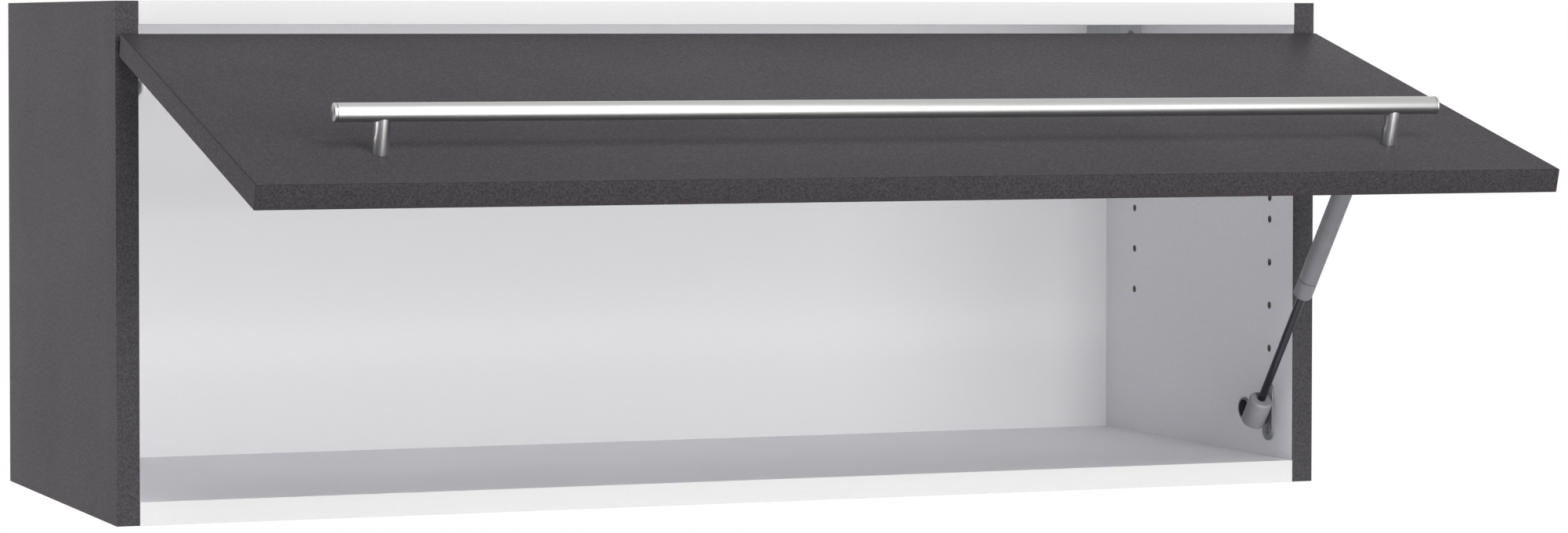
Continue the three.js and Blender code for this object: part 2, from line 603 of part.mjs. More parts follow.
function hingeFootScrewPlaces(sign) {
  const middle = EAR_FAR + (HINGE_FOOT_WIDTH - HINGE_EAR) / 2;
  const x = sign * (INNER_X - middle - HINGE_FOOT_SCREW_SHIFT);
  const first = -HINGE_FOOT_FIRST - HINGE_FOOT_SCREW_INSET;
  const last = -HINGE_FOOT_FIRST - HINGE_FOOT_LENGTH + HINGE_FOOT_SCREW_INSET;
  return [first, last].map((z) => [x, FIT_GAP + HINGE_FOOT, z]);
}

// ---- flap, its edge bands, bumpers and handle ----
const HANDLE_Z = -FLAP_HEIGHT + HANDLE_FROM_FREE_EDGE;
const POST_X = FLAP_WIDTH / 2 - HANDLE_POST_INSET;
const POST_XS = [-POST_X, POST_X];
const HANDLE_AXIS_Y = -FLAP_BOARD - HANDLE_RISE;

function addFlapPanel() {
  const half = FLAP_WIDTH / 2;
  const y = [-FLAP_BOARD, 0];
  const cuts = [];
  for (const x of POST_XS) {
    const bore = bar(HANDLE_SCREW + 2 * FIT_GAP, [-1, FLAP_BOARD + 1], 12);
    cuts.push(along(bore, [0, -1, 0], [x, 0, HANDLE_Z]));
  }
  const screwPlaces = [...SIDES.flatMap(({ sign }) => hingeFootScrewPlaces(sign)), ...strutFootScrewPlaces()];
  for (const place of screwPlaces) cuts.push(along(screwHole(), [0, 1, 0], place));
  const core = box([-half + EDGE_BAND, half - EDGE_BAND], y, [-FLAP_HEIGHT + EDGE_BAND, -EDGE_BAND]);
  addPiece(flap, 'flap_panel', cut(core, cuts), 'graphiteBoard');
  const outline = box([-half, half], y, [-FLAP_HEIGHT, 0]);
  const opening = box([-half + EDGE_BAND, half - EDGE_BAND], [y[0] - 1, y[1] + 1],
    [-FLAP_HEIGHT + EDGE_BAND, -EDGE_BAND]);
  addPiece(flap, 'flap_edge_band', cut(outline, [opening]), 'graphiteBand');
}

function addBumpers() {
  const thickness = FLAP_STANDOFF - FIT_GAP;
  const pad = () => turned([[0, FIT_GAP], [BUMPER_DIAMETER / 2, FIT_GAP],
    [BUMPER_DIAMETER / 2, thickness * 0.6], [BUMPER_DIAMETER / 3, thickness], [0, thickness]]);
  for (const { name, sign } of SIDES) {
    const place = [sign * (INNER_X + BOARD / 2), 0, -FLAP_HEIGHT + BUMPER_FROM_FREE_EDGE];
    addPiece(flap, `flap_bumper_${name}`, along(pad(), [0, 1, 0], place), 'clearRubber');
  }
}

function addHandle() {
  const reach = POST_X + HANDLE_OVERHANG;
  const barEnd = reach - HANDLE_CAP - FIT_GAP;
  const toAxis = [0, HANDLE_AXIS_Y, HANDLE_Z];
  const capHole = HANDLE_CAP_SPIGOT + 2 * FIT_GAP;
  const holes = [];
  for (const x of POST_XS) {
    const bore = bar(HANDLE_SPIGOT + 2 * FIT_GAP,
      [HANDLE_BAR / 2 - HANDLE_SPIGOT_DEPTH - FIT_GAP, HANDLE_BAR / 2 + 1]);
    holes.push(along(bore, [0, 1, 0], [x, HANDLE_AXIS_Y, HANDLE_Z]));
  }
  const depth = HANDLE_CAP_SPIGOT_LENGTH + FIT_GAP;
  holes.push(along(bar(capHole, [barEnd - depth, barEnd + 1]), [1, 0, 0], toAxis));
  holes.push(along(bar(capHole, [barEnd - depth, barEnd + 1]), [-1, 0, 0], toAxis));
  const rod = along(bar(HANDLE_BAR, [-barEnd, barEnd], ROUND), [1, 0, 0], toAxis);
  addPiece(flap, 'handle_bar', cut(rod, holes), 'brushedSteel');

  for (const { name, sign } of SIDES) {
    const postX = sign * POST_X;
    const rise = HANDLE_RISE;
    const spigotTop = rise - HANDLE_BAR / 2 + HANDLE_SPIGOT_DEPTH;
    const column = bar(HANDLE_POST, [FIT_GAP, rise], ROUND);
    const saddle = along(bar(HANDLE_BAR + 2 * FIT_GAP, [-HANDLE_POST, HANDLE_POST], ROUND),
      [1, 0, 0], [0, 0, rise]);
    const spigot = bar(HANDLE_SPIGOT, [rise - HANDLE_BAR / 2 - HANDLE_SPIGOT_ROOT, spigotTop]);
    const bore = bar(HANDLE_SCREW + 2 * FIT_GAP, [-1, HANDLE_SCREW_IN_POST + FIT_GAP], 12);
    const post = cut(join([cut(column, [saddle]), spigot]), [bore]);
    addPiece(flap, `handle_post_${name}`,
      along(post, [0, -1, 0], [postX, -FLAP_BOARD, HANDLE_Z]), 'brushedSteel');

    const edge = HANDLE_BAR / 2;
    const plug = HANDLE_CAP_SPIGOT / 2;
    const plugEnd = barEnd - HANDLE_CAP_SPIGOT_LENGTH;
    const cap = turned([[0, plugEnd], [plug, plugEnd], [plug, barEnd + FIT_GAP],
      [edge, barEnd + FIT_GAP], [edge, reach - HANDLE_CAP_BEVEL], [edge - HANDLE_CAP_BEVEL, reach],
      [0, reach]], ROUND);
    addPiece(flap, `handle_cap_${name}`, along(cap, [sign, 0, 0], toAxis), 'brushedSteel');

    const head = HANDLE_SCREW_HEAD / 2;
    const headTop = -FIT_GAP - HANDLE_SCREW_HEAD_HEIGHT;
    const shoulder = -FIT_GAP - HANDLE_SCREW_HEAD_HEIGHT / 2;
    const shank = HANDLE_SCREW / 2;
    const shankEnd = FLAP_BOARD + HANDLE_SCREW_IN_POST;
    const screwForm = turned([[0, headTop], [head + headTop - shoulder, headTop], [head, shoulder],
      [head, -FIT_GAP], [shank, -FIT_GAP], [shank, shankEnd], [0, shankEnd]]);
    const screw = cut(screwForm, cross(HANDLE_SCREW_SLOT, HANDLE_SCREW_SLOT_WIDTH,
      [headTop - 1, headTop + HANDLE_SCREW_SLOT_DEPTH]));
    addPiece(flap, `handle_screw_${name}`, along(screw, [0, -1, 0], [postX, 0, HANDLE_Z]), 'zinc');
  }
}

// ---- gas strut ----
const STRUT_X = INNER_X - STRUT_FROM_WALL;
const WALL_BALL = [FRONT + WALL_BALL_SETBACK, BOTTOM + WALL_BALL_HEIGHT];
const FLAP_BALL_LOCAL = [FLAP_BALL_FROM_FACE, -FLAP_BALL_FROM_EDGE];
const FLAP_BALL_TURNED = turnYZ(FLAP_BALL_LOCAL, FLAP_TURN);
const FLAP_BALL = [flap.position.y + FLAP_BALL_TURNED[0], flap.position.z + FLAP_BALL_TURNED[1]];
const STRUT_REACH = [FLAP_BALL[0] - WALL_BALL[0], FLAP_BALL[1] - WALL_BALL[1]];
const STRUT_OPEN_LENGTH = Math.hypot(...STRUT_REACH);
const STRUT_OPEN_ANGLE = Math.atan2(STRUT_REACH[1], STRUT_REACH[0]);
const STUB_BORE_START = BALL_DIAMETER / 2 + 2 * BALL_CLEARANCE; // from a ball's centre
const ENDS = ['lower', 'upper'];
const WALL_PLATE_SCREWS = [-1, 1].map((end) => [
  WALL_BALL[0], WALL_BALL[1] + end * WALL_PLATE_PITCH / 2]);

// A ball on a neck along +Z: the ball's centre is at z = 0, the neck ends at z = neckEnd.
function ballStud(neckEnd, collar) {
  const shank = bar(BALL_NECK, [BALL_DIAMETER / 4, neckEnd], 16);
  const parts = [ball(BALL_DIAMETER), shank];
  if (collar) parts.push(bar(COLLAR_DIAMETER, [neckEnd - COLLAR_THICKNESS, neckEnd]));
  return join(parts);
}

// One end socket, along +Z: the ball's centre is at z = 0, the nose at z = SOCKET_NOSE.
// The stud comes in from +X, through the flat.
function socket(stubDiameter) {
  const radius = SOCKET_DIAMETER / 2;
  const tail = -SOCKET_TAIL;
  const body = turned([[0, tail], [radius - SOCKET_TAIL_BEVEL, tail], [radius, tail + SOCKET_TAIL_BEVEL],
    [radius, SOCKET_NOSE - SOCKET_NOSE_BEVEL], [radius - SOCKET_NOSE_BEVEL, SOCKET_NOSE],
    [0, SOCKET_NOSE]], ROUND);
  return cut(body, [
    ball(BALL_DIAMETER + 2 * BALL_CLEARANCE),
    along(bar(BALL_NECK + 4 * BALL_CLEARANCE, [0, radius + 1]), [1, 0, 0]),
    bar(stubDiameter + 2 * FIT_GAP, [STUB_BORE_START, SOCKET_NOSE]),
    box([SOCKET_FLAT, radius + 1], [-radius - 1, radius + 1], [tail - 1, SOCKET_NOSE + 1]),
  ]);
}

function addWallBracket() {
  const [y, z] = WALL_BALL;
  const x = [INNER_X - WALL_PLATE, INNER_X];
  const reach = (WALL_PLATE_HEIGHT - WALL_PLATE_WIDTH) / 2;
  const stadium = plateAcrossX(slotOutline(2 * reach, WALL_PLATE_WIDTH), x).translate(0, y, z - reach);
  const ringY = y + RING_FROM_BALL;
  const ringZ = z - RING_DROP;
  const arm = box(x, [y, ringY], [z - WALL_PLATE_ARM / 2, z + WALL_PLATE_ARM / 2]);
  const ring = along(bar(RING_DIAMETER, [0, WALL_PLATE], ROUND), [1, 0, 0], [x[0], ringY, ringZ]);
  const cuts = WALL_PLATE_SCREWS.map(([sy, sz]) => along(screwHole(), [-1, 0, 0], [x[0], sy, sz]));
  cuts.push(along(bar(RING_HOLE, [-1, WALL_PLATE + 1], ROUND), [1, 0, 0], [x[0], ringY, ringZ]));
  cuts.push(along(bar(BALL_NECK + 2 * FIT_GAP, [-1, WALL_PLATE + 1]), [1, 0, 0], [x[0], y, z]));
  addPiece(cabinet, 'strut_wall_bracket', cut(join([stadium, arm, ring]), cuts), 'zinc');
  const neckEnd = STRUT_FROM_WALL - FIT_GAP;
  addPiece(cabinet, 'strut_wall_ball',
    along(ballStud(neckEnd), [1, 0, 0], [STRUT_X, y, z]), 'blackSteel');
  WALL_PLATE_SCREWS.forEach(([sy, sz], i) => {
    addPiece(cabinet, `strut_wall_screw_${ENDS[i]}`,
      along(boardScrew(), [-1, 0, 0], [x[0], sy, sz]), 'zinc');
  });
  const plugRadius = RING_HOLE / 2 - FIT_GAP;
  const plug = turned([[0, FIT_GAP], [plugRadius, FIT_GAP], [plugRadius, PLUG_THICKNESS - PLUG_BEVEL],
    [plugRadius - PLUG_BEVEL, PLUG_THICKNESS], [0, PLUG_THICKNESS]]);
  addPiece(cabinet, 'strut_bracket_plug',
    along(plug, [-1, 0, 0], [INNER_X, ringY, ringZ]), 'blackPlastic');
}

function addStrut() {
  const strut = new THREE.Group();
  strut.position.set(STRUT_X, ...WALL_BALL);
  strut.rotation.x = STRUT_OPEN_ANGLE - Math.PI / 2;
  cabinet.add(strut);
  const length = STRUT_OPEN_LENGTH;
  addPiece(strut, 'strut_lower_socket', socket(ROD_DIAMETER), 'greyPlastic');

  const tubeStart = SLEEVE_START + SLEEVE_LENGTH + FIT_GAP;
  const tubeEnd = length - SOCKET_NOSE;
  const bore = TUBE_DIAMETER / 2 - TUBE_WALL;
  const sleeveEnd = SLEEVE_START + SLEEVE_LENGTH;
  const spigotEnd = sleeveEnd + SLEEVE_SPIGOT;
  const pistonStart = spigotEnd + FIT_GAP;
  const rodStart = STUB_BORE_START + FIT_GAP;
  addPiece(strut, 'strut_rod', bar(ROD_DIAMETER, [rodStart, spigotEnd], ROUND), 'blackSteel');
  const piston = turned([[0, pistonStart], [bore - FIT_GAP, pistonStart],
    [bore - FIT_GAP, pistonStart + PISTON_LENGTH], [0, pistonStart + PISTON_LENGTH]]);
  addPiece(strut, 'strut_piston', piston, 'blackPlastic');

  const outer = TUBE_DIAMETER / 2;
  const rodHole = ROD_DIAMETER / 2 + FIT_GAP;
  const shoulder = SLEEVE_ROUND * (1 - Math.SQRT1_2);
  const sleeve = turned([[rodHole, SLEEVE_START], [outer - SLEEVE_ROUND, SLEEVE_START],
    [outer - shoulder, SLEEVE_START + shoulder], [outer, SLEEVE_START + SLEEVE_ROUND],
    [outer, sleeveEnd], [bore - FIT_GAP, sleeveEnd], [bore - FIT_GAP, spigotEnd],
    [rodHole, spigotEnd], [rodHole, SLEEVE_START]], ROUND);
  addPiece(strut, 'strut_sleeve', sleeve, 'greyPlastic');

  const stub = ROD_DIAMETER / 2;
  const stubEnd = length - rodStart;
  const tubeTop = tubeEnd - FIT_GAP;
  const tube = turned([[0, tubeEnd - TUBE_END], [bore, tubeEnd - TUBE_END], [bore, tubeStart],
    [outer, tubeStart], [outer, tubeTop - TUBE_BEVEL], [outer - TUBE_BEVEL, tubeTop],
    [stub, tubeTop], [stub, stubEnd], [0, stubEnd]], ROUND);
  addPiece(strut, 'strut_tube', tube, 'greyPaint');

  const upper = socket(ROD_DIAMETER).rotateY(Math.PI).translate(0, 0, length);
  addPiece(strut, 'strut_upper_socket', upper, 'greyPlastic');
  const stud = ballStud(FOOT_EAR_GAP - FIT_GAP, true);
  addPiece(strut, 'strut_flap_ball', along(stud, [-1, 0, 0], [0, 0, length]), 'blackSteel');
}

function strutFootScrewPlaces() {
  const x = STRUT_X - FOOT_EAR_GAP - FOOT_EAR - (FOOT_WIDTH - FOOT_EAR) / 2;
  const z = FLAP_BALL_LOCAL[1];
  return [-1, 1].map((end) => [x, FIT_GAP + FOOT_PLATE, z + end * HOLE_PITCH / 2]);
}

function addFlapBracket() {
  const [y, z] = FLAP_BALL_LOCAL;
  const near = STRUT_X - FOOT_EAR_GAP;
  const earX = [near - FOOT_EAR, near];
  const half = FOOT_LENGTH / 2;
  const lean = FOOT_EAR_LEAN;
  const ear = new THREE.Shape();
  ear.moveTo(FIT_GAP, z - half);
  ear.lineTo(FIT_GAP + FOOT_PLATE, z - half);
  ear.lineTo(y + FOOT_EAR_RADIUS * Math.sin(lean), z - FOOT_EAR_RADIUS * Math.cos(lean));
  ear.absarc(y, z, FOOT_EAR_RADIUS, lean - Math.PI / 2, Math.PI / 2 - lean, false);
  ear.lineTo(FIT_GAP + FOOT_PLATE, z + half);
  ear.lineTo(FIT_GAP, z + half);
  const foot = box([near - FOOT_WIDTH, near], [FIT_GAP, FIT_GAP + FOOT_PLATE], [z - half, z + half]);
  const holes = strutFootScrewPlaces().map((place) => along(screwHole(), [0, 1, 0], place));
  addPiece(flap, 'strut_flap_bracket', cut(join([plateAcrossX(ear, earX), foot]), holes), 'zinc');
  strutFootScrewPlaces().forEach((place, i) => {
    addPiece(flap, `strut_flap_screw_${ENDS[i]}`,
      along(boardScrew(), [0, 1, 0], place), 'zinc');
  });
}

// ---- the whole cabinet ----
for (const side of SIDES) addSidePanel(side);
for (const level of LEVELS) addLevelPanel(level);
for (const level of LEVELS) addCornerJoints(level);
addBackPanel();
for (const side of SIDES) addHanger(side);
for (const side of SIDES) addHinge(side);
addFlapPanel();
addBumpers();
addHandle();
addWallBracket();
addStrut();
addFlapBracket();

export default cabinet;
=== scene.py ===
from math import radians

import bmesh
import bpy
import numpy as np
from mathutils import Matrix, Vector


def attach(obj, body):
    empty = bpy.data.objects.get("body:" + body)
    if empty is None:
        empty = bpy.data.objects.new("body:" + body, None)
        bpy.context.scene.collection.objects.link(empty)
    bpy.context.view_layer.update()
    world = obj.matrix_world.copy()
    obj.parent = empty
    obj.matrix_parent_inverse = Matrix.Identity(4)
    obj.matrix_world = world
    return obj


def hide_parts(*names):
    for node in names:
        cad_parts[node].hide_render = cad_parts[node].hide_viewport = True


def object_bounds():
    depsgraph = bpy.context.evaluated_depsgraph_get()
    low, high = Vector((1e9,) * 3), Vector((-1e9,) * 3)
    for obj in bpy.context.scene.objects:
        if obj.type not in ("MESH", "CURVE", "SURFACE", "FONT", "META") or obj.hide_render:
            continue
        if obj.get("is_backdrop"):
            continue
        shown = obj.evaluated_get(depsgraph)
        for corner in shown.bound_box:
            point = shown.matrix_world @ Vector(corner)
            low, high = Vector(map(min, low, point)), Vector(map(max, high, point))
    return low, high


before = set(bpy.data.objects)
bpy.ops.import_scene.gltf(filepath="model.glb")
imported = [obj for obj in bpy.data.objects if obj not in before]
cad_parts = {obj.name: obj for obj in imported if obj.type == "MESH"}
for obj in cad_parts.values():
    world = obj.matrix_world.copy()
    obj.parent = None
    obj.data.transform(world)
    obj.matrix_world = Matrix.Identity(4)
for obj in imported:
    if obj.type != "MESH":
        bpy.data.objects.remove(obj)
cad_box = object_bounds()

# ---- camera ----
# The cabinet hangs on a wall and is seen from its left front, from the height of its top board and
# tipped down a little. The lens is long, and a small shift sets the cabinet in the frame.
PHOTO_WIDTH = 2002
FOCAL_PIXELS = 5834.8
FILM_WIDTH = 36.0
TURNED_RIGHT, TIPPED_DOWN = 20.125, 1.814
camera = bpy.data.objects.new("camera", bpy.data.cameras.new("camera"))
bpy.context.scene.collection.objects.link(camera)
camera.data.sensor_width = FILM_WIDTH
camera.data.lens = FOCAL_PIXELS / PHOTO_WIDTH * FILM_WIDTH
camera.data.shift_x, camera.data.shift_y = 0.096, -0.06
camera.data.clip_end = 100
camera.location = (-1.1740, -3.3101, 0.3258)
camera.rotation_euler = (radians(90 - TIPPED_DOWN), 0, radians(-TURNED_RIGHT))
bpy.context.scene.camera = camera

# ---- side panels ----
# Two sides of 16 mm chipboard, faced with melamine: graphite outside with a pearl grain, white
# inside. They carry the shelf-pin holes of the 32 mm system, bored 5 mm wide and 9 mm deep, and are
# held to the top and bottom boards by cam bolts. Their rear edges are left raw.
MM = 0.001
WELD = 1e-6
HALF_WIDTH, INNER_X = 450.0, 434.0
FRONT, BAND = -330.0, 1.0
UNDERSIDE, TOP = -8.0, 344.0
BOARD = 16.0
ARRIS = 0.3
PIN_RADIUS, PIN_DEPTH, PIN_RIM, PIN_CELL = 2.5, 9.0, 0.25, 4.0
FRONT_PINS = [(-293.0, z) for z in (88, 120, 152, 184, 200, 216)]
REAR_PINS = [(-69.0, z) for z in (120, 152, 184, 216)]


def linear(code):
    """Linear RGBA of an sRGB hex code: c / 12.92 up to 0.04045, else ((c + 0.055) / 1.055) ** 2.4."""
    c = np.array([int(code[i:i + 2], 16) for i in (1, 3, 5)]) / 255
    return (*np.where(c <= 0.04045, c / 12.92, ((c + 0.055) / 1.055) ** 2.4), 1.0)


def add(tree, kind, inputs=(), **properties):
    """Adds one node: properties are set by name, inputs hold a value or a link as (node, output)."""
    node = tree.nodes.new(kind)
    for name, value in properties.items():
        setattr(node, name, value)
    for key, value in dict(inputs).items():
        if isinstance(value, tuple) and isinstance(value[0], bpy.types.Node):
            tree.links.new(value[0].outputs[value[1]], node.inputs[key])
        else:
            node.inputs[key].default_value = value
    return node


def new_material(name, shader):
    """A material with one Principled shader, set from a table, and the object's own coordinates."""
    material = bpy.data.materials.new(name)
    material.use_nodes = True
    tree = material.node_tree
    tree.nodes.clear()
    bsdf = add(tree, "ShaderNodeBsdfPrincipled", shader)
    add(tree, "ShaderNodeOutputMaterial", {"Surface": (bsdf, 0)})
    return material, tree, bsdf, add(tree, "ShaderNodeTexCoord")


def melamine(name, face, fleck, grain, relief, rough, shine):
    """Paper facing pressed against a textured plate: small rounded bumps, grain mm apart and relief mm
    high, with flecks of a second tone between them and a slow change of gloss over the sheet."""
    material, tree, bsdf, place = new_material(name, {"IOR": 1.5, "Specular IOR Level": shine})
    pearl = add(tree, "ShaderNodeTexNoise", {"Vector": (place, "Object"), "Scale": 1000 / grain,
                                            "Detail": 2.5, "Roughness": 0.6})
    cells = add(tree, "ShaderNodeTexVoronoi", {"Vector": (place, "Object"), "Scale": 1000 / grain / 1.6},
                feature="SMOOTH_F1")
    cloud = add(tree, "ShaderNodeTexNoise", {"Vector": (place, "Object"), "Scale": 9, "Detail": 2})
    height = add(tree, "ShaderNodeMix", {0: 0.45, 2: (pearl, 0), 3: (cells, 0)})
    share = add(tree, "ShaderNodeMapRange", {0: (height, 0), 1: 0.3, 2: 0.62})
    tone = add(tree, "ShaderNodeMix", {0: (share, 0), 6: linear(fleck), 7: linear(face)},
               data_type="RGBA")
    gloss = add(tree, "ShaderNodeMapRange", {0: (cloud, 0), 1: 0.3, 2: 0.7, 3: rough - 0.03,
                                             4: rough + 0.03})
    fine = add(tree, "ShaderNodeMapRange", {0: (height, 0), 1: 0.3, 2: 0.6, 3: 0.05, 4: -0.03})
    total = add(tree, "ShaderNodeMath", {0: (gloss, 0), 1: (fine, 0)}, operation="ADD")
    bump = add(tree, "ShaderNodeBump", {"Height": (height, 0), "Distance": relief * MM, "Strength": 1.0})
    tree.links.new(tone.outputs[2], bsdf.inputs["Base Color"])
    tree.links.new(total.outputs[0], bsdf.inputs["Roughness"])
    tree.links.new(bump.outputs[0], bsdf.inputs["Normal"])
    return material


def chipboard(name, pale, brown, dark):
    """Sawn core of pressed chips: pale and dark slivers 2 to 4 mm long with resin between them."""
    material, tree, bsdf, place = new_material(name, {"Roughness": 0.85, "IOR": 1.45})
    chips = add(tree, "ShaderNodeTexVoronoi", {"Vector": (place, "Object"), "Scale": 1000 / 2.6})
    fibre = add(tree, "ShaderNodeTexNoise", {"Vector": (place, "Object"), "Scale": 1000 / 0.9,
                                            "Detail": 3})
    tint = add(tree, "ShaderNodeMix", {0: (fibre, 0), 6: linear(brown), 7: linear(pale)},
               data_type="RGBA")
    spot = add(tree, "ShaderNodeSeparateColor", {0: (chips, "Color")})
    share = add(tree, "ShaderNodeMapRange", {0: (spot, 0), 3: 0.0, 4: 0.45})
    wood = add(tree, "ShaderNodeMix", {0: (share, 0), 6: (tint, 2), 7: linear(dark)}, data_type="RGBA")
    bump = add(tree, "ShaderNodeBump", {"Height": (fibre, 0), "Distance": 0.15 * MM})
    tree.links.new(wood.outputs[2], bsdf.inputs["Base Color"])
    tree.links.new(bump.outputs[0], bsdf.inputs["Normal"])
    return material


def surface(points, finish=0, flat=False, keep=True):
    """Quads of a grid of points in mm: quad (i, j) joins points (i, j), (i, j+1), (i+1, j+1), (i+1, j).
    flat and keep are one value or one for each quad."""
    rows, columns = points.shape[:2]
    number = np.arange(rows * columns).reshape(rows, columns)
    quads = np.stack([number[:-1, :-1], number[:-1, 1:], number[1:, 1:], number[1:, :-1]], -1)
    kept = np.broadcast_to(keep, quads.shape[:2])
    return (points.reshape(-1, 3), quads[kept], np.full(kept.sum(), finish),
            np.broadcast_to(flat, quads.shape[:2])[kept])


def piece(name, surfaces, finishes, body, nodes=(), sharp=40):
    """One closed piece: its surfaces' points nearer than WELD become one, so seams and poles close,
    and its faces are turned outwards. Creases over the angle sharp stay sharp."""
    first = np.cumsum([0] + [len(s[0]) for s in surfaces])[:-1]
    mesh = bpy.data.meshes.new(name)
    mesh.from_pydata(np.concatenate([s[0] for s in surfaces]) * MM, [],
                     np.concatenate([s[1] + n for s, n in zip(surfaces, first)]))
    finish_of = np.concatenate([s[2] for s in surfaces]).astype(np.int32)
    mesh.polygons.foreach_set("material_index", finish_of)
    mesh.polygons.foreach_set("use_smooth", ~np.concatenate([s[3] for s in surfaces]))
    solid = bmesh.new()
    solid.from_mesh(mesh)
    bmesh.ops.remove_doubles(solid, verts=solid.verts, dist=WELD)
    bmesh.ops.recalc_face_normals(solid, faces=solid.faces)
    solid.to_mesh(mesh)
    solid.free()
    mesh.set_sharp_from_angle(angle=radians(sharp))
    for material in finishes:
        mesh.materials.append(material)
    made = bpy.data.objects.new(name, mesh)
    bpy.context.scene.collection.objects.link(made)
    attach(made, body)
    if nodes:
        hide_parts(*nodes)
    return made


def lines_of(low, high, soft, extra):
    """Along one axis: places on the box shrunk by soft, and the tangent of the direction there. That
    goes from -1 to 0 over the low arris, stays 0 over the flat and goes to 1 over the high arris."""
    turn = np.tan(np.radians([45.0, 30.0, 15.0, 0.0]))
    middle = np.sort(np.array(extra, float))
    inner = np.concatenate([np.full(4, low + soft), middle, np.full(4, high - soft)])
    return inner, np.concatenate([-turn, np.zeros(len(middle)), turn[::-1]])


def bored(face, across, sign, b, c, cell, profile, finish, steps=48):
    """A round bore in a flat face. Column j has the angle (j + 1/2) * 360 / steps; row 0 is the nearest
    corner of the square cell round the bore, and each further row is a circle of the profile's radius
    at its depth under the face."""
    angle = (np.arange(steps + 1) + 0.5) * 2 * np.pi / steps
    radius, depth = np.array(profile, float).T
    u = np.vstack([cell * np.sign(np.cos(angle)), radius[:, None] * np.cos(angle)])
    v = np.vstack([cell * np.sign(np.sin(angle)), radius[:, None] * np.sin(angle)])
    points = np.empty(u.shape + (3,))
    points[..., across[0]] = b + u
    points[..., across[1]] = c + v
    points[..., 3 - sum(across)] = face - sign * np.concatenate([[0], depth])[:, None]
    rim = surface(points[:2], finish[0], flat=True)
    return [rim, surface(points[1:], finish[1])]


def board(low, high, soft, finishes, bores=(), profile=None, cell=0.0, bore_finish=(0, 0)):
    """A board with rounded arrises. Each of its six faces is a grid over two axes, and a point is the
    point of the box shrunk by soft, plus soft along the direction (1, tan a, tan b) made one long.
    bores are (axis, sign, b, c): the cell round each is left out and a bore is let in."""
    low, high = np.array(low, float), np.array(high, float)
    extra = [[], [], []]
    for axis, sign, b, c in bores:
        for other, value in zip([k for k in range(3) if k != axis], (b, c)):
            extra[other] += [value - cell, value + cell]
    along = [lines_of(low[k], high[k], soft, sorted(set(extra[k]))) for k in range(3)]
    surfaces = []
    for axis in range(3):
        across = [k for k in range(3) if k != axis]
        (place_b, tan_b), (place_c, tan_c) = along[across[0]], along[across[1]]
        for sign in (-1, 1):
            way = np.empty((len(place_b), len(place_c), 3))
            way[..., axis] = sign
            way[..., across[0]], way[..., across[1]] = np.meshgrid(tan_b, tan_c, indexing="ij")
            inner = np.empty_like(way)
            inner[..., axis] = high[axis] - soft if sign > 0 else low[axis] + soft
            inner[..., across[0]], inner[..., across[1]] = np.meshgrid(place_b, place_c, indexing="ij")
            points = inner + soft * way / np.linalg.norm(way, axis=2, keepdims=True)
            level_b = (tan_b[:-1] == 0) & (tan_b[1:] == 0)
            level_c = (tan_c[:-1] == 0) & (tan_c[1:] == 0)
            flat = level_b[:, None] & level_c[None, :]
            keep = np.ones_like(flat)
            middle_b = (place_b[:-1] + place_b[1:]) / 2
            middle_c = (place_c[:-1] + place_c[1:]) / 2
            face = high[axis] if sign > 0 else low[axis]
            for bore_axis, bore_sign, b, c in bores:
                if (bore_axis, bore_sign) == (axis, sign):
                    near = (abs(middle_b - b) < 0.01)[:, None] & (abs(middle_c - c) < 0.01)[None, :]
                    keep &= ~(near & flat)
                    surfaces += bored(face, across, sign, b, c, cell, profile, bore_finish)
            surfaces.append(surface(points, finishes[axis * 2 + (sign > 0)], flat, keep))
    return surfaces


graphite_melamine = melamine("graphite_melamine", "#423F42", "#353235", 1.1, 0.05, 0.7, 0.12)
white_melamine = melamine("white_melamine", "#F2F2F5", "#EAEAEE", 0.9, 0.012, 0.5, 0.3)
chipboard_core = chipboard("chipboard_core", "#C9B48D", "#8E7857", "#6E5A3E")
# The pin bores' walls are chipboard greyed from its tan: partly the core's own colour, partly painted
# shade for the inside of the holes.
bore_wall_painted_shade = chipboard("dusty_bored_chipboard", "#A5A29D", "#8B8883", "#6F6C68")
BOARD_FINISHES = [graphite_melamine, white_melamine, chipboard_core, bore_wall_painted_shade]
GRAPHITE, WHITE, RAW, BORED = 0, 1, 2, 3
pin_bore = [(PIN_RADIUS + PIN_RIM, 0), (PIN_RADIUS + 0.07, 0.07), (PIN_RADIUS, PIN_RIM),
            (PIN_RADIUS, PIN_DEPTH), (0, PIN_DEPTH + 0.8)]
for side, sign in (("left", -1), ("right", 1)):
    x = sorted((sign * INNER_X, sign * HALF_WIDTH))
    outside, inside = (0, 1) if sign < 0 else (1, 0)
    faces = [RAW] * 6
    faces[outside], faces[inside] = GRAPHITE, WHITE
    faces[4] = faces[5] = GRAPHITE
    piece(f"{side}_side_board",
          board((x[0], FRONT + BAND, UNDERSIDE), (x[1], 0, TOP), ARRIS, faces,
                [(0, -sign, y, z) for y, z in FRONT_PINS + REAR_PINS], pin_bore, PIN_CELL,
                (WHITE, BORED)),
          BOARD_FINISHES, "carcass", [f"{side}_side_panel"])

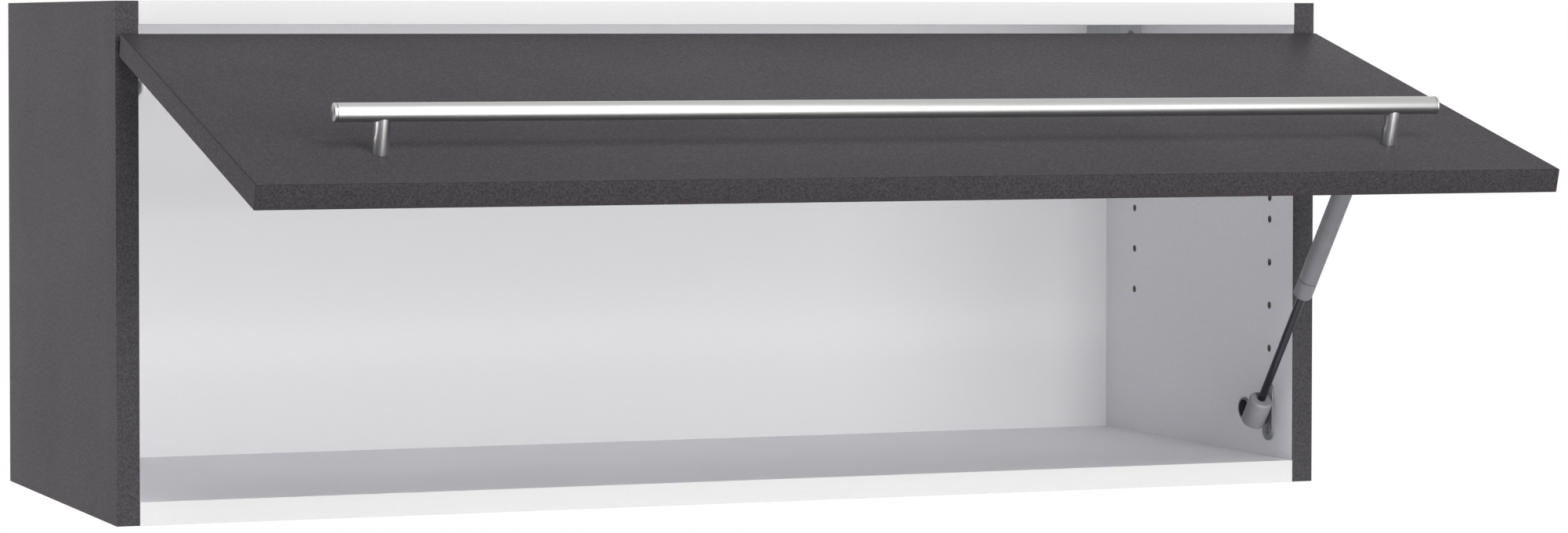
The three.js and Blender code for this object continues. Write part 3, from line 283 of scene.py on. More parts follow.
# ---- top and bottom boards ----
# Two 16 mm white melamine boards between the sides. Each has four 15 mm bores in its outer face,
# where the cams of the corner joints turn; the rear edges are raw, the front ones are banded.
CAM_X, CAM_ROWS, CAM_RADIUS, CAM_BORE, CAM_CELL = 410.0, (-270.0, -70.0), 7.5, 12.7, 9.0
cam_bore = [(CAM_RADIUS + 0.3, 0), (CAM_RADIUS + 0.1, 0.2), (CAM_RADIUS + 0.1, CAM_BORE), (0, CAM_BORE)]
for level, low, out in (("bottom", UNDERSIDE, -1), ("top", TOP - BOARD, 1)):
    piece(f"{level}_board",
          board((-INNER_X, FRONT + BAND, low), (INNER_X, 0, low + BOARD), ARRIS,
                [RAW, RAW, RAW, RAW, WHITE, WHITE],
                [(2, out, x, y) for x in (-CAM_X, CAM_X) for y in CAM_ROWS], cam_bore, CAM_CELL,
                (WHITE, RAW)),
          BOARD_FINISHES, "carcass", [f"{level}_panel"])

# ---- front edge bands ----
# Strips of ABS plastic 1 mm thick, glued to the boards' front edges and scraped to a small round, so
# a fine dark line shows where band and board meet. Graphite on the sides and white on the top and
# bottom boards; the flap's band is the same graphite painted darker, as shade for its downward-facing
# edge.
BAND_SOFT = 0.42


def edging(name, face, fleck, grain, relief, rough, shine):
    """Extruded ABS strip, embossed to go with the board: a coarser, glossier grain than the facing,
    its bumps a little warped."""
    material, tree, bsdf, place = new_material(name, {"IOR": 1.54, "Specular IOR Level": shine})
    grit = add(tree, "ShaderNodeTexNoise", {"Vector": (place, "Object"), "Scale": 1000 / grain,
                                           "Detail": 3, "Roughness": 0.65, "Distortion": 0.4})
    share = add(tree, "ShaderNodeMapRange", {0: (grit, 0), 1: 0.36, 2: 0.64})
    tone = add(tree, "ShaderNodeMix", {0: (share, 0), 6: linear(fleck), 7: linear(face)},
               data_type="RGBA")
    gloss = add(tree, "ShaderNodeMapRange", {0: (grit, 0), 1: 0.3, 2: 0.7, 3: rough + 0.06,
                                             4: rough - 0.04})
    bump = add(tree, "ShaderNodeBump", {"Height": (grit, 0), "Distance": relief * MM, "Strength": 1.0})
    tree.links.new(tone.outputs[2], bsdf.inputs["Base Color"])
    tree.links.new(gloss.outputs[0], bsdf.inputs["Roughness"])
    tree.links.new(bump.outputs[0], bsdf.inputs["Normal"])
    return material


graphite_edging = edging("graphite_abs_edging", "#494749", "#343335", 1.4, 0.10, 0.68, 0.12)
# The flap's band is the same graphite ABS painted darker: painted shade for its front edge, which faces
# downward.
flap_edging_painted_shade = edging("dark_graphite_abs_edging", "#393639", "#272427", 1.5, 0.14, 0.66, 0.10)
white_edging = edging("white_abs_edging", "#CFCFCF", "#CBCBCB", 1.1, 0.004, 0.5, 0.3)
for side, sign in (("left", -1), ("right", 1)):
    x = sorted((sign * INNER_X, sign * HALF_WIDTH))
    piece(f"{side}_side_band",
          board((x[0], FRONT, UNDERSIDE), (x[1], FRONT + BAND, TOP), BAND_SOFT, [0] * 6),
          [graphite_edging], "carcass", [f"{side}_side_edge_band"])
for level, low in (("bottom", UNDERSIDE), ("top", TOP - BOARD)):
    piece(f"{level}_band",
          board((-INNER_X, FRONT, low), (INNER_X, FRONT + BAND, low + BOARD), BAND_SOFT, [0] * 6),
          [white_edging], "carcass", [f"{level}_edge_band"])

# ---- back panel ----
# A 3 mm hardboard in grooves, 16 mm in front of the rear edges and notched round the hangers. Its
# front is lacquered white; its rear shows the bare brown fibres with the mark of the press screen.
BACK_MIDDLE, PRESS_WIRE = -17.5, 40
hardboard, tree, bsdf, place = new_material("lacquered_hardboard", {"IOR": 1.47})
apart = add(tree, "ShaderNodeSeparateXYZ", {0: (place, "Object")})
rear = add(tree, "ShaderNodeMath", {0: (apart, 1), 1: BACK_MIDDLE * MM}, operation="GREATER_THAN")
fibre = add(tree, "ShaderNodeTexNoise", {"Vector": (place, "Object"), "Scale": 1000 / 1.2, "Detail": 4})
brown = add(tree, "ShaderNodeMix", {0: (fibre, 0), 6: linear("#6B4E33"), 7: linear("#A07B55")},
            data_type="RGBA")
pores = add(tree, "ShaderNodeTexNoise", {"Vector": (place, "Object"), "Scale": 1000 / 1.6, "Detail": 2})
lacquer = add(tree, "ShaderNodeMix", {0: (pores, 0), 6: linear("#F0F0F2"), 7: linear("#F5F5F6")},
              data_type="RGBA")
tone = add(tree, "ShaderNodeMix", {0: (rear, 0), 6: (lacquer, 2), 7: (brown, 2)}, data_type="RGBA")
wires = [add(tree, "ShaderNodeTexWave", {"Vector": (place, "Object"), "Scale": 1000 / PRESS_WIRE},
             bands_direction=way) for way in "XZ"]
screen = add(tree, "ShaderNodeMath", {0: (wires[0], 1), 1: (wires[1], 1)}, operation="MULTIPLY")
height = add(tree, "ShaderNodeMix", {0: (rear, 0), 2: (pores, 0), 3: (screen, 0)})
depth = add(tree, "ShaderNodeMix", {0: (rear, 0), 2: 0.006 * MM, 3: 0.2 * MM})
rough = add(tree, "ShaderNodeMapRange", {0: (rear, 0), 3: 0.42, 4: 0.8})
bump = add(tree, "ShaderNodeBump", {"Height": (height, 0), "Distance": (depth, 0)})
tree.links.new(tone.outputs[2], bsdf.inputs["Base Color"])
tree.links.new(rough.outputs[0], bsdf.inputs["Roughness"])
tree.links.new(bump.outputs[0], bsdf.inputs["Normal"])


def dress(material, *nodes):
    """Gives CAD nodes that stay a new material; their meshes and places aren't touched."""
    for name in nodes:
        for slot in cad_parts[name].material_slots:
            slot.link = "OBJECT"
            slot.material = material


dress(hardboard, "back_panel")

# ---- corner joints ----
# Cams of die-cast zinc, 15 mm across, with a cross slot for the screwdriver. Turned half a turn each
# draws in a steel bolt from the side panel; they sit just under the board's outer face.


def turned(profile, base, axis, turns=48, carve=None, finish=0):
    """A profile of (radius, height) turned about an axis: point (i, j) is base + height i along the
    axis + radius i * (cos, sin) of angle j. carve(x, y) lowers the rows before the widest one."""
    radius, height = np.array(profile, float).T
    axis = np.array(axis, float) / np.linalg.norm(axis)
    u = np.cross(axis, np.eye(3)[np.argmin(abs(axis))])
    u /= np.linalg.norm(u)
    v = np.cross(axis, u)
    angle = np.linspace(0, 2 * np.pi, turns + 1)
    x, y = radius[:, None] * np.cos(angle), radius[:, None] * np.sin(angle)
    h = np.repeat(height[:, None], turns + 1, 1)
    if carve:
        h -= carve(x, y) * (np.arange(len(radius)) < np.argmax(radius))[:, None]
    points = np.array(base, float) + h[..., None] * axis + x[..., None] * u + y[..., None] * v
    points[:, -1] = points[:, 0]
    return [surface(points, finish)]


def filleted(corners, steps=5):
    """A profile through corners (radius, height, fillet): at each corner the line is cut back by
    fillet / tan(half the angle between its sides), and an arc of that fillet joins the two cuts."""
    at = np.array([c[:2] for c in corners], float)
    out = [at[0]]
    for i in range(1, len(corners) - 1):
        fillet = corners[i][2] if len(corners[i]) > 2 else 0
        a, b = at[i - 1] - at[i], at[i + 1] - at[i]
        a, b = a / np.linalg.norm(a), b / np.linalg.norm(b)
        half = np.arccos(np.clip(a @ b, -1, 1)) / 2
        if fillet:
            middle = at[i] + (a + b) / np.linalg.norm(a + b) * fillet / np.sin(half)
            start = at[i] + a * fillet / np.tan(half) - middle
            end = at[i] + b * fillet / np.tan(half) - middle
            sweep = np.arccos(np.clip(start @ end / fillet ** 2, -1, 1))
            t = np.linspace(0, 1, steps + 1)[:, None]
            arc = (np.sin((1 - t) * sweep) * start + np.sin(t * sweep) * end) / np.sin(sweep)
            out.extend(middle + arc)
        else:
            out.append(at[i])
    out.append(at[-1])
    return np.array(out)


def crossed(width, reach, deep):
    """The drop of a cross recess: deep where |x| or |y| is under half the width and the other is
    under reach, rising over 0.3 mm at its walls."""
    def carve(x, y):
        def wall(value, limit):
            return np.clip((limit - abs(value)) / 0.3 + 0.5, 0, 1)
        arm = np.maximum(wall(x, width / 2) * wall(y, reach), wall(y, width / 2) * wall(x, reach))
        return deep * arm
    return carve


def metal(name, light, dark, rough, scratch=1.2, relief=0.01, shift=0.08, metallic=1.0):
    """Cast, plated, turned or painted metal: its colour drifts between two tones, and a fine grain,
    scratch mm apart and relief mm high, varies its gloss by shift and breaks up the reflections."""
    material, tree, bsdf, place = new_material(name, {"Metallic": metallic})
    grain = add(tree, "ShaderNodeTexNoise", {"Vector": (place, "Object"), "Scale": 1000 / scratch,
                                            "Detail": 4, "Roughness": 0.7})
    cloud = add(tree, "ShaderNodeTexNoise", {"Vector": (place, "Object"), "Scale": 1000 / 14,
                                            "Detail": 2})
    share = add(tree, "ShaderNodeMix", {0: 0.4, 2: (grain, 0), 3: (cloud, 0)})
    spread = add(tree, "ShaderNodeMapRange", {0: (share, 0), 1: 0.3, 2: 0.7})
    tone = add(tree, "ShaderNodeMix", {0: (spread, 0), 6: linear(dark), 7: linear(light)},
               data_type="RGBA")
    gloss = add(tree, "ShaderNodeMapRange", {0: (share, 0), 1: 0.3, 2: 0.7, 3: rough + shift,
                                             4: rough - shift})
    bump = add(tree, "ShaderNodeBump", {"Height": (grain, 0), "Distance": relief * MM})
    tree.links.new(tone.outputs[2], bsdf.inputs["Base Color"])
    tree.links.new(gloss.outputs[0], bsdf.inputs["Roughness"])
    tree.links.new(bump.outputs[0], bsdf.inputs["Normal"])
    return material


cast_zinc = metal("die_cast_zinc", "#A9AAAC", "#8C8D90", 0.45, 1.6, 0.04)
CAM_SUNK, CAM_DEPTH = 0.2, 12.5
cam_shape = np.vstack([np.stack([np.linspace(0, CAM_RADIUS - 0.4, 26), np.full(26, -CAM_SUNK)], 1),
                       [(CAM_RADIUS - 0.1, -CAM_SUNK - 0.1), (CAM_RADIUS, -CAM_SUNK - 0.4),
                        (CAM_RADIUS, -CAM_DEPTH), (0, -CAM_DEPTH)]])
for level, face, out in (("bottom", UNDERSIDE, -1), ("top", TOP, 1)):
    for side, sign in (("left", -1), ("right", 1)):
        for row, y in zip(("front", "rear"), CAM_ROWS):
            piece(f"{level}_{side}_{row}_cam",
                  turned(cam_shape, (sign * CAM_X, y, face), (0, 0, out), 96, crossed(2.0, 4.5, 3.0)),
                  [cast_zinc], "carcass", [f"{level}_{side}_{row}_cam_lock"], sharp=30)

# ---- cabinet hangers ----
# A grey-painted die-cast housing in each upper rear corner holds a steel hook, which goes through
# the notch in the back panel onto the wall rail. A screw in its front sets the height.
grey_housing = metal("grey_zinc_housing", "#C6C7CA", "#B3B4B8", 0.6, 1.4, 0.04, metallic=0.0)
plated_steel = metal("zinc_plated_steel", "#B9BBBE", "#97999D", 0.32, 0.8, 0.01)
HANGER_SCREW_X, HANGER_SCREW_Z, HANGER_SCREW_FRONT = 425.0, 321.0, -78.7
screw_face = np.stack([np.linspace(0, 2.35, 20), np.full(20, 0.0)], 1)
hanger_screw = np.vstack([screw_face, [(2.6, -0.1), (2.75, -0.35), (2.75, -17.4), (0, -17.4)]])
for side, sign in (("left", -1), ("right", 1)):
    piece(f"{side}_hanger_setting_screw",
          turned(hanger_screw, (sign * HANGER_SCREW_X, HANGER_SCREW_FRONT, HANGER_SCREW_Z),
                 (0, -1, 0), 64, crossed(1.0, 1.9, 1.4)),
          [plated_steel], "carcass", [f"{side}_hanger_screw"], sharp=30)
    dress(grey_housing, f"{side}_hanger_housing")
    dress(plated_steel, f"{side}_hanger_hook")

# ---- hinges ----
# On each side a white lacquered steel plate is screwed to the side panel, a lever turns on its pin,
# and a bracket screwed inside the flap turns on the lever. The pins are riveted, with low heads.
hinge_white = metal("white_lacquered_steel", "#ECECEE", "#E4E4E6", 0.4, 0.8, 0.01, metallic=0.0)
BASE_PIN, FLAP_PIN = (428.8, -307.5, 281.0), (426.6, -349.865, 293.589)
PIN_HEAD = filleted([(0, 0), (3.5, 0, 0.4), (3.5, 0.9, 0.15), (2.5, 0.9), (2.5, 5.0), (0, 5.0)])
for side, sign in (("left", -1), ("right", 1)):
    dress(hinge_white, f"{side}_hinge_plate", f"{side}_hinge_link", f"{side}_hinge_flap_bracket")
    piece(f"{side}_base_rivet", turned(PIN_HEAD, (sign * BASE_PIN[0], *BASE_PIN[1:]), (sign, 0, 0)),
          [hinge_white], "carcass", [f"{side}_hinge_base_pin"], sharp=30)
    piece(f"{side}_flap_rivet", turned(PIN_HEAD, (sign * FLAP_PIN[0], *FLAP_PIN[1:]), (sign, 0, 0)),
          [hinge_white], "flap", [f"{side}_hinge_flap_pin"], sharp=30)

# ---- flap ----
# A 16 mm board of a slightly glossier graphite melamine, banded with ABS on all four edges and held
# open 75 degrees. Its frame has y through the board, z up to the hinge edge, x as the cabinet has.
FLAP_ORIGIN = np.array([0, -332.617, 306.493])
OPEN = np.radians(75)
FLAP_HALF, FLAP_HEIGHT = 448.0, 348.0
TURN = np.array([[1, 0, 0], [0, np.cos(OPEN), -np.sin(OPEN)], [0, np.sin(OPEN), np.cos(OPEN)]])


def on_flap(surfaces):
    """Brings surfaces from the shut flap's frame to where it is held open: a turn by 75 degrees about
    x, then a shift to the hinge edge."""
    return [(points @ TURN + FLAP_ORIGIN, *rest) for points, *rest in surfaces]


def band_round(half, height, thick, deep, soft, steps=6):
    """An edge band round a board. Column j stands at one of the board's four corners and looks out at
    angle j, and row i is a place of the band's own section: out q from the board's edge, y through it.
    The section is a rectangle with four rounded arrises."""
    angle = np.concatenate([np.radians(np.linspace(0, 90, steps + 1)) + k * np.pi / 2 for k in range(4)])
    corner = np.repeat([[half, 0], [-half, 0], [-half, -height], [half, -height]], steps + 1, 0)
    inner_soft = 0.25
    arcs = [((thick - soft, -soft), soft, 90), ((inner_soft, -inner_soft), inner_soft, 180),
            ((inner_soft, -deep + inner_soft), inner_soft, 270),
            ((thick - soft, -deep + soft), soft, 360)]
    q, y = [], []
    for (cq, cy), r, end in arcs:
        turn = np.radians(np.linspace(end - 90, end, 5) if end != 90 else np.linspace(0, 90, 5))
        q.append(cq + r * np.cos(turn))
        y.append(cy + r * np.sin(turn))
    q, y = np.concatenate(q + [q[0][:1]]), np.concatenate(y + [y[0][:1]])
    points = np.empty((len(q), len(angle) + 1, 3))
    angle, corner = np.append(angle, angle[0]), np.vstack([corner, corner[:1]])
    points[..., 0] = corner[:, 0] + q[:, None] * np.cos(angle)
    points[..., 1] = y[:, None] + 0 * angle
    points[..., 2] = corner[:, 1] + q[:, None] * np.sin(angle)
    return [surface(points)]


flap_melamine = melamine("glossier_graphite_melamine", "#4A474B", "#3A373B", 1.1, 0.06, 0.46, 0.03)
piece("flap_board",
      on_flap(board((-FLAP_HALF + BAND, -BOARD, -FLAP_HEIGHT + BAND), (FLAP_HALF - BAND, 0, -BAND), 0.3,
                    [GRAPHITE] * 6)),
      [flap_melamine] + BOARD_FINISHES[1:], "flap", ["flap_panel"])
ring = band_round(FLAP_HALF - BAND, FLAP_HEIGHT - 2 * BAND, BAND, BOARD, 0.7)
ring = [(points + [0, 0, -BAND], *rest) for points, *rest in ring]
piece("flap_band", on_flap(ring), [flap_edging_painted_shade], "flap", ["flap_edge_band"])

# Two clear self-adhesive rubber pads in the flap's lower corners stop it against the side panels.
PAD_X, PAD_Z = 442.0, -334.0
clear_rubber, tree, bsdf, place = new_material(
    "clear_rubber", {"Base Color": linear("#DCDCD8"), "IOR": 1.43, "Transmission Weight": 0.75})
haze = add(tree, "ShaderNodeTexNoise", {"Vector": (place, "Object"), "Scale": 1000 / 2.5, "Detail": 3})
gloss = add(tree, "ShaderNodeMapRange", {0: (haze, 0), 1: 0.3, 2: 0.7, 3: 0.22, 4: 0.4})
bump = add(tree, "ShaderNodeBump", {"Height": (haze, 0), "Distance": 0.03 * MM})
tree.links.new(gloss.outputs[0], bsdf.inputs["Roughness"])
tree.links.new(bump.outputs[0], bsdf.inputs["Normal"])
dome = filleted([(0, 0), (4, 0, 0.2), (4, 0.9, 0.5), (2.6, 1.9, 1.2), (0, 1.9)])
for side, sign in (("left", -1), ("right", 1)):
    piece(f"flap_pad_{side}", on_flap(turned(dome, (sign * PAD_X, 0, PAD_Z), (0, 1, 0))),
          [clear_rubber], "flap", [f"flap_bumper_{side}"])

# ---- handle ----
# A bar of satin-brushed stainless steel, 12 mm thick, on two 10 mm posts screwed through the flap.
# It was ground lengthways, so a broad soft highlight lies along it; a turned cap closes each end.
BAR_Y, BAR_Z, BAR_RADIUS, BAR_END = -43.0, -286.0, 6.0, 382.1
POST_X, POST_RADIUS = 352.0, 5.0


def satin(name, stretch):
    """Stainless steel ground with a fine belt: hair lines 0.12 mm apart and some 20 mm long, drawn
    along the grinding, give a gloss that spreads across them."""
    material, tree, bsdf, place = new_material(name, {"Metallic": 1.0, "Anisotropic": 0.5})
    lying = add(tree, "ShaderNodeMapping", {"Vector": (place, "Object"), "Scale": stretch})
    hair = add(tree, "ShaderNodeTexNoise", {"Vector": (lying, 0), "Scale": 1000 / 0.12, "Detail": 2,
                                           "Roughness": 0.6})
    cloud = add(tree, "ShaderNodeTexNoise", {"Vector": (place, "Object"), "Scale": 1000 / 60,
                                            "Detail": 2})
    tone = add(tree, "ShaderNodeMix", {0: (hair, 0), 6: linear("#B3B3B2"), 7: linear("#BDBDBC")},
               data_type="RGBA")
    both = add(tree, "ShaderNodeMix", {0: 0.35, 2: (hair, 0), 3: (cloud, 0)})
    gloss = add(tree, "ShaderNodeMapRange", {0: (both, 0), 1: 0.3, 2: 0.7, 3: 0.29, 4: 0.34})
    bump = add(tree, "ShaderNodeBump", {"Height": (hair, 0), "Distance": 0.0008 * MM})
    along = add(tree, "ShaderNodeTangent", {}, direction_type="RADIAL", axis="X")
    tree.links.new(tone.outputs[2], bsdf.inputs["Base Color"])
    tree.links.new(gloss.outputs[0], bsdf.inputs["Roughness"])
    tree.links.new(bump.outputs[0], bsdf.inputs["Normal"])
    tree.links.new(along.outputs[0], bsdf.inputs["Tangent"])
    return material


satin_bar = satin("satin_stainless_bar", (0.006, 1, 1))
satin_post = satin("satin_stainless_post", (1, 1, 1))
bar = filleted([(0, -BAR_END), (5.2, -BAR_END), (BAR_RADIUS, -BAR_END, 0.15),
                (BAR_RADIUS, BAR_END, 0.15), (5.2, BAR_END), (0, BAR_END)], 3)
piece("handle_rod", on_flap(turned(bar, (0, BAR_Y, BAR_Z), (1, 0, 0), 64)),
      [satin_bar], "flap", ["handle_bar"])
cap = filleted([(0, -1.0), (5.2, -1.0), (5.2, 0.35), (BAR_RADIUS, 0.35, 0.1), (BAR_RADIUS, 1.9, 0.6),
                (0, 1.9)])
post = filleted([(0, 0), (POST_RADIUS, 0, 0.25), (POST_RADIUS, 23.5), (0, 23.5)])
for side, sign in (("left", -1), ("right", 1)):
    piece(f"handle_{side}_end", on_flap(turned(cap, (sign * BAR_END, BAR_Y, BAR_Z), (sign, 0, 0), 64)),
          [satin_post], "flap", [f"handle_cap_{side}"], sharp=30)
    piece(f"handle_{side}_post", on_flap(turned(post, (sign * POST_X, -BOARD, BAR_Z), (0, -1, 0), 64)),
          [satin_post], "flap", [f"handle_post_{side}"], sharp=30)

# Each post is held by an M4 screw through the board, its crowned head just proud inside the flap.
head = np.linspace(0, 3.6, 22)
handle_screw = np.vstack([np.stack([head, 2.4 - 0.05 * head ** 2], 1),
                          [(3.95, 1.5), (4.0, 1.2), (4.0, 0), (2.0, 0), (2.0, -20), (0, -20)]])
for side, sign in (("left", -1), ("right", 1)):
    piece(f"handle_{side}_bolt",
          on_flap(turned(handle_screw, (sign * POST_X, 0, BAR_Z), (0, 1, 0), 72,
                         crossed(1.0, 2.0, 1.4))),
          [plated_steel], "flap", [f"handle_screw_{side}"], sharp=30)

# ---- gas strut ----
# One gas strut on the right holds the flap up. Its grey painted tube ends in a plastic guide sleeve,
# the nitrided rod runs out of that, and a moulded socket at either end snaps onto a ball stud.
LOWER_BALL = np.array([424.0, -293.0, 41.5])
STRUT_AXIS = np.array([0.0, -0.6109075, 0.791702])
STRUT_LENGTH = 261.386


def moulded(name, light, dark, rough, grain, relief, shine):
    """Moulded or sprayed skin: a fine orange-peel relief, with its tone and gloss following it."""
    material, tree, bsdf, place = new_material(name, {"IOR": 1.49, "Specular IOR Level": shine})
    peel = add(tree, "ShaderNodeTexNoise", {"Vector": (place, "Object"), "Scale": 1000 / grain,
                                           "Detail": 2, "Roughness": 0.5})
    cloud = add(tree, "ShaderNodeTexNoise", {"Vector": (place, "Object"), "Scale": 1000 / 12,
                                            "Detail": 2})
    share = add(tree, "ShaderNodeMix", {0: 0.4, 2: (peel, 0), 3: (cloud, 0)})
    spread = add(tree, "ShaderNodeMapRange", {0: (share, 0), 1: 0.32, 2: 0.68})
    tone = add(tree, "ShaderNodeMix", {0: (spread, 0), 6: linear(dark), 7: linear(light)},
               data_type="RGBA")
    gloss = add(tree, "ShaderNodeMapRange", {0: (share, 0), 1: 0.3, 2: 0.7, 3: rough + 0.05,
                                             4: rough - 0.05})
    bump = add(tree, "ShaderNodeBump", {"Height": (peel, 0), "Distance": relief * MM})
    tree.links.new(tone.outputs[2], bsdf.inputs["Base Color"])
    tree.links.new(gloss.outputs[0], bsdf.inputs["Roughness"])
    tree.links.new(bump.outputs[0], bsdf.inputs["Normal"])
    return material


def on_strut(profile, turns=64):
    """A profile turned about the strut's axis, with its heights measured from the lower ball."""
    return turned(profile, LOWER_BALL, STRUT_AXIS, turns)


def flattened(surfaces, low, high):
    """Surfaces with a flat on one side: each x is held between low and high."""
    return [(np.stack([np.clip(points[..., 0], low, high), points[..., 1], points[..., 2]], -1), *rest)
            for points, *rest in surfaces]


grey_paint = moulded("grey_powder_paint", "#7C7C80", "#727276", 0.42, 0.7, 0.02, 0.35)
grey_plastic = moulded("grey_moulded_plastic", "#929296", "#87878B", 0.45, 0.9, 0.02, 0.35)
black_plastic = moulded("black_moulded_plastic", "#1A1A1C", "#121214", 0.5, 0.9, 0.03, 0.05)
nitrided_steel = metal("nitrided_steel_rod", "#4A4A4E", "#404044", 0.16, 0.6, 0.002, 0.03)
SOCKET_RADIUS, SOCKET_TAIL, SOCKET_NOSE, SOCKET_BEVEL, SOCKET_FLAT = 8.8, 10.5, 12.1, 1.4, 8.2
ROD_RADIUS, ROD_START, ROD_END = 3.0, 6.0, 137.1
TUBE_RADIUS, SLEEVE_START, SLEEVE_END, TUBE_START, TUBE_END = 7.0, 113.3, 128.2, 128.7, 249.0
nose, shoulder = SOCKET_NOSE, SOCKET_NOSE - SOCKET_BEVEL
lower_socket = filleted([(0, -SOCKET_TAIL), (SOCKET_RADIUS, -SOCKET_TAIL, 1.2),
                         (SOCKET_RADIUS, shoulder, 0.4), (SOCKET_RADIUS - SOCKET_BEVEL, nose, 0.4),
                         (0, nose)])
piece("strut_socket_below",
      flattened(on_strut(lower_socket, 128), 400, LOWER_BALL[0] + SOCKET_FLAT),
      [grey_plastic], "strut_rod_side", ["strut_lower_socket"], sharp=30)
rod = filleted([(0, ROD_START), (ROD_RADIUS, ROD_START, 0.2), (ROD_RADIUS, ROD_END, 0.2), (0, ROD_END)])
piece("strut_rod_bar", on_strut(rod, 48), [nitrided_steel], "strut_rod_side",
      ["strut_rod", "strut_piston"])
sleeve = filleted([(0, SLEEVE_START + 1.4), (3.5, SLEEVE_START + 1.4), (3.5, SLEEVE_START, 0.2),
                   (TUBE_RADIUS, SLEEVE_START, 1.5), (TUBE_RADIUS, SLEEVE_END, 0.1),
                   (6.2, SLEEVE_END), (6.2, 132.1), (0, 132.1)])
piece("strut_guide", on_strut(sleeve), [grey_paint], "strut_tube_side",
      ["strut_sleeve"], sharp=30)
tube = filleted([(0, TUBE_START), (TUBE_RADIUS, TUBE_START, 0.15), (TUBE_RADIUS, TUBE_END, 1.5),
                 (0, TUBE_END)])
piece("strut_cylinder", on_strut(tube), [grey_paint], "strut_tube_side",
      ["strut_tube"], sharp=30)
nose, shoulder = STRUT_LENGTH - SOCKET_NOSE, STRUT_LENGTH - SOCKET_NOSE + SOCKET_BEVEL
tail = STRUT_LENGTH + SOCKET_TAIL
upper_socket = filleted([(0, nose), (SOCKET_RADIUS - SOCKET_BEVEL, nose, 0.4),
                         (SOCKET_RADIUS, shoulder, 0.4), (SOCKET_RADIUS, tail, 1.2), (0, tail)])
piece("strut_socket_above",
      flattened(on_strut(upper_socket, 128), LOWER_BALL[0] - SOCKET_FLAT, 450),
      [grey_plastic], "strut_tube_side", ["strut_upper_socket"], sharp=30)

# ---- strut fixings ----
# The lower ball stud is riveted to a stamped zinc-plated plate with round ends, held to the side
# panel by two cross-head screws; beside it a ring of the same plate holds a black plug. The upper
# stud stands on a bent foot that is screwed inside the flap.
grey_zinc = metal("grey_plated_plate", "#8E8F92", "#7C7D80", 0.45, 1.0, 0.015, metallic=0.5)
dark_screw = metal("grey_plated_screw", "#6A6B6E", "#525356", 0.38, 0.8, 0.01)
# The ball studs are blackened steel whose near-black is partly painted shade for the gap between socket
# and plate.
stud_steel_dark_as_gap_shade = metal("blackened_steel", "#303033", "#222224", 0.35, 0.8, 0.01)
PLATE_BACK, PLATE_THICK = 434.0, 1.5


def stamped(outline, thick, soft, back, steps=4):
    """A stamped plate on the wall x = back: row i is the outline drawn in by 1 - sin of its angle times
    soft, at its height over the wall, and the last rows close to the outline's middle."""
    middle = outline.mean(0)
    following = np.roll(outline, -1, 0) - np.roll(outline, 1, 0)
    normal = np.stack([following[:, 1], -following[:, 0]], 1)
    normal /= np.linalg.norm(following, axis=1, keepdims=True)
    turn = np.linspace(0, np.pi / 2, steps + 1)
    inset = np.concatenate([[0], soft * (1 - np.cos(turn))])
    height = np.concatenate([[0], thick - soft + soft * np.sin(turn)])
    rings = outline[None] - inset[:, None, None] * normal[None]
    rings = np.concatenate([np.broadcast_to(middle, (1,) + outline.shape), rings,
                            np.broadcast_to(middle, (1,) + outline.shape)])
    height = np.concatenate([[0], height, [thick]])
    points = np.empty(rings.shape[:2] + (3,))
    points[..., 0] = back - height[:, None]
    points[..., 1:] = rings
    points = np.concatenate([points, points[:, :1]], 1)
    return [surface(points)]


turn = np.linspace(0, np.pi, 25)
stadium = np.concatenate([np.stack([7.5 * np.cos(turn), 14.5 + 7.5 * np.sin(turn)], 1),
                          np.stack([-7.5 * np.cos(turn), -14.5 - 7.5 * np.sin(turn)], 1)])
piece("strut_wall_plate", stamped(stadium + LOWER_BALL[1:], PLATE_THICK, 0.35, PLATE_BACK), [grey_zinc],
      "carcass", ["strut_wall_bracket"], sharp=30)
RING_Y, RING_Z, RING_HOLE, RING_EDGE, PLUG_RADIUS = -255.5, 40.3, 7.0, 8.5, 6.7
arm = board((PLATE_BACK - PLATE_THICK, -290.0, 37.0), (PLATE_BACK, RING_Y - 7.3, 46.0), 0.35, [0] * 6)
piece("strut_plate_arm", arm, [grey_zinc], "carcass", sharp=30)
ring_shape = filleted([(RING_HOLE, 0), (RING_EDGE, 0), (RING_EDGE, PLATE_THICK, 0.35),
                       (RING_HOLE, PLATE_THICK, 0.3), (RING_HOLE, 0)])
piece("strut_plate_ring", turned(ring_shape, (PLATE_BACK, RING_Y, RING_Z), (-1, 0, 0), 64), [grey_zinc],
      "carcass", sharp=30)
plug_shape = filleted([(0, 0.3), (PLUG_RADIUS, 0.3), (PLUG_RADIUS, 1.9, 0.6), (0, 2.0)])
piece("strut_plate_plug", turned(plug_shape, (PLATE_BACK, RING_Y, RING_Z), (-1, 0, 0), 64),
      [black_plastic], "carcass", ["strut_bracket_plug"], sharp=30)
ball = np.linspace(-np.pi / 2, 0.95, 20)
stud = np.vstack([np.stack([5 * np.cos(ball), 5 * np.sin(ball)], 1), [(2.5, 4.6), (2.5, 9.6), (0, 9.6)]])
piece("strut_wall_stud", turned(stud, LOWER_BALL, (1, 0, 0)), [stud_steel_dark_as_gap_shade], "carcass",
      ["strut_wall_ball"])
head = np.linspace(0, 2.6, 22)
board_screw = np.vstack([np.stack([head, 1.96 - 0.05 * head ** 2], 1),
                         [(3.2, 1.45), (3.45, 1.2), (3.5, 0.9), (1.75, -0.9), (1.75, -11), (0, -11.5)]])
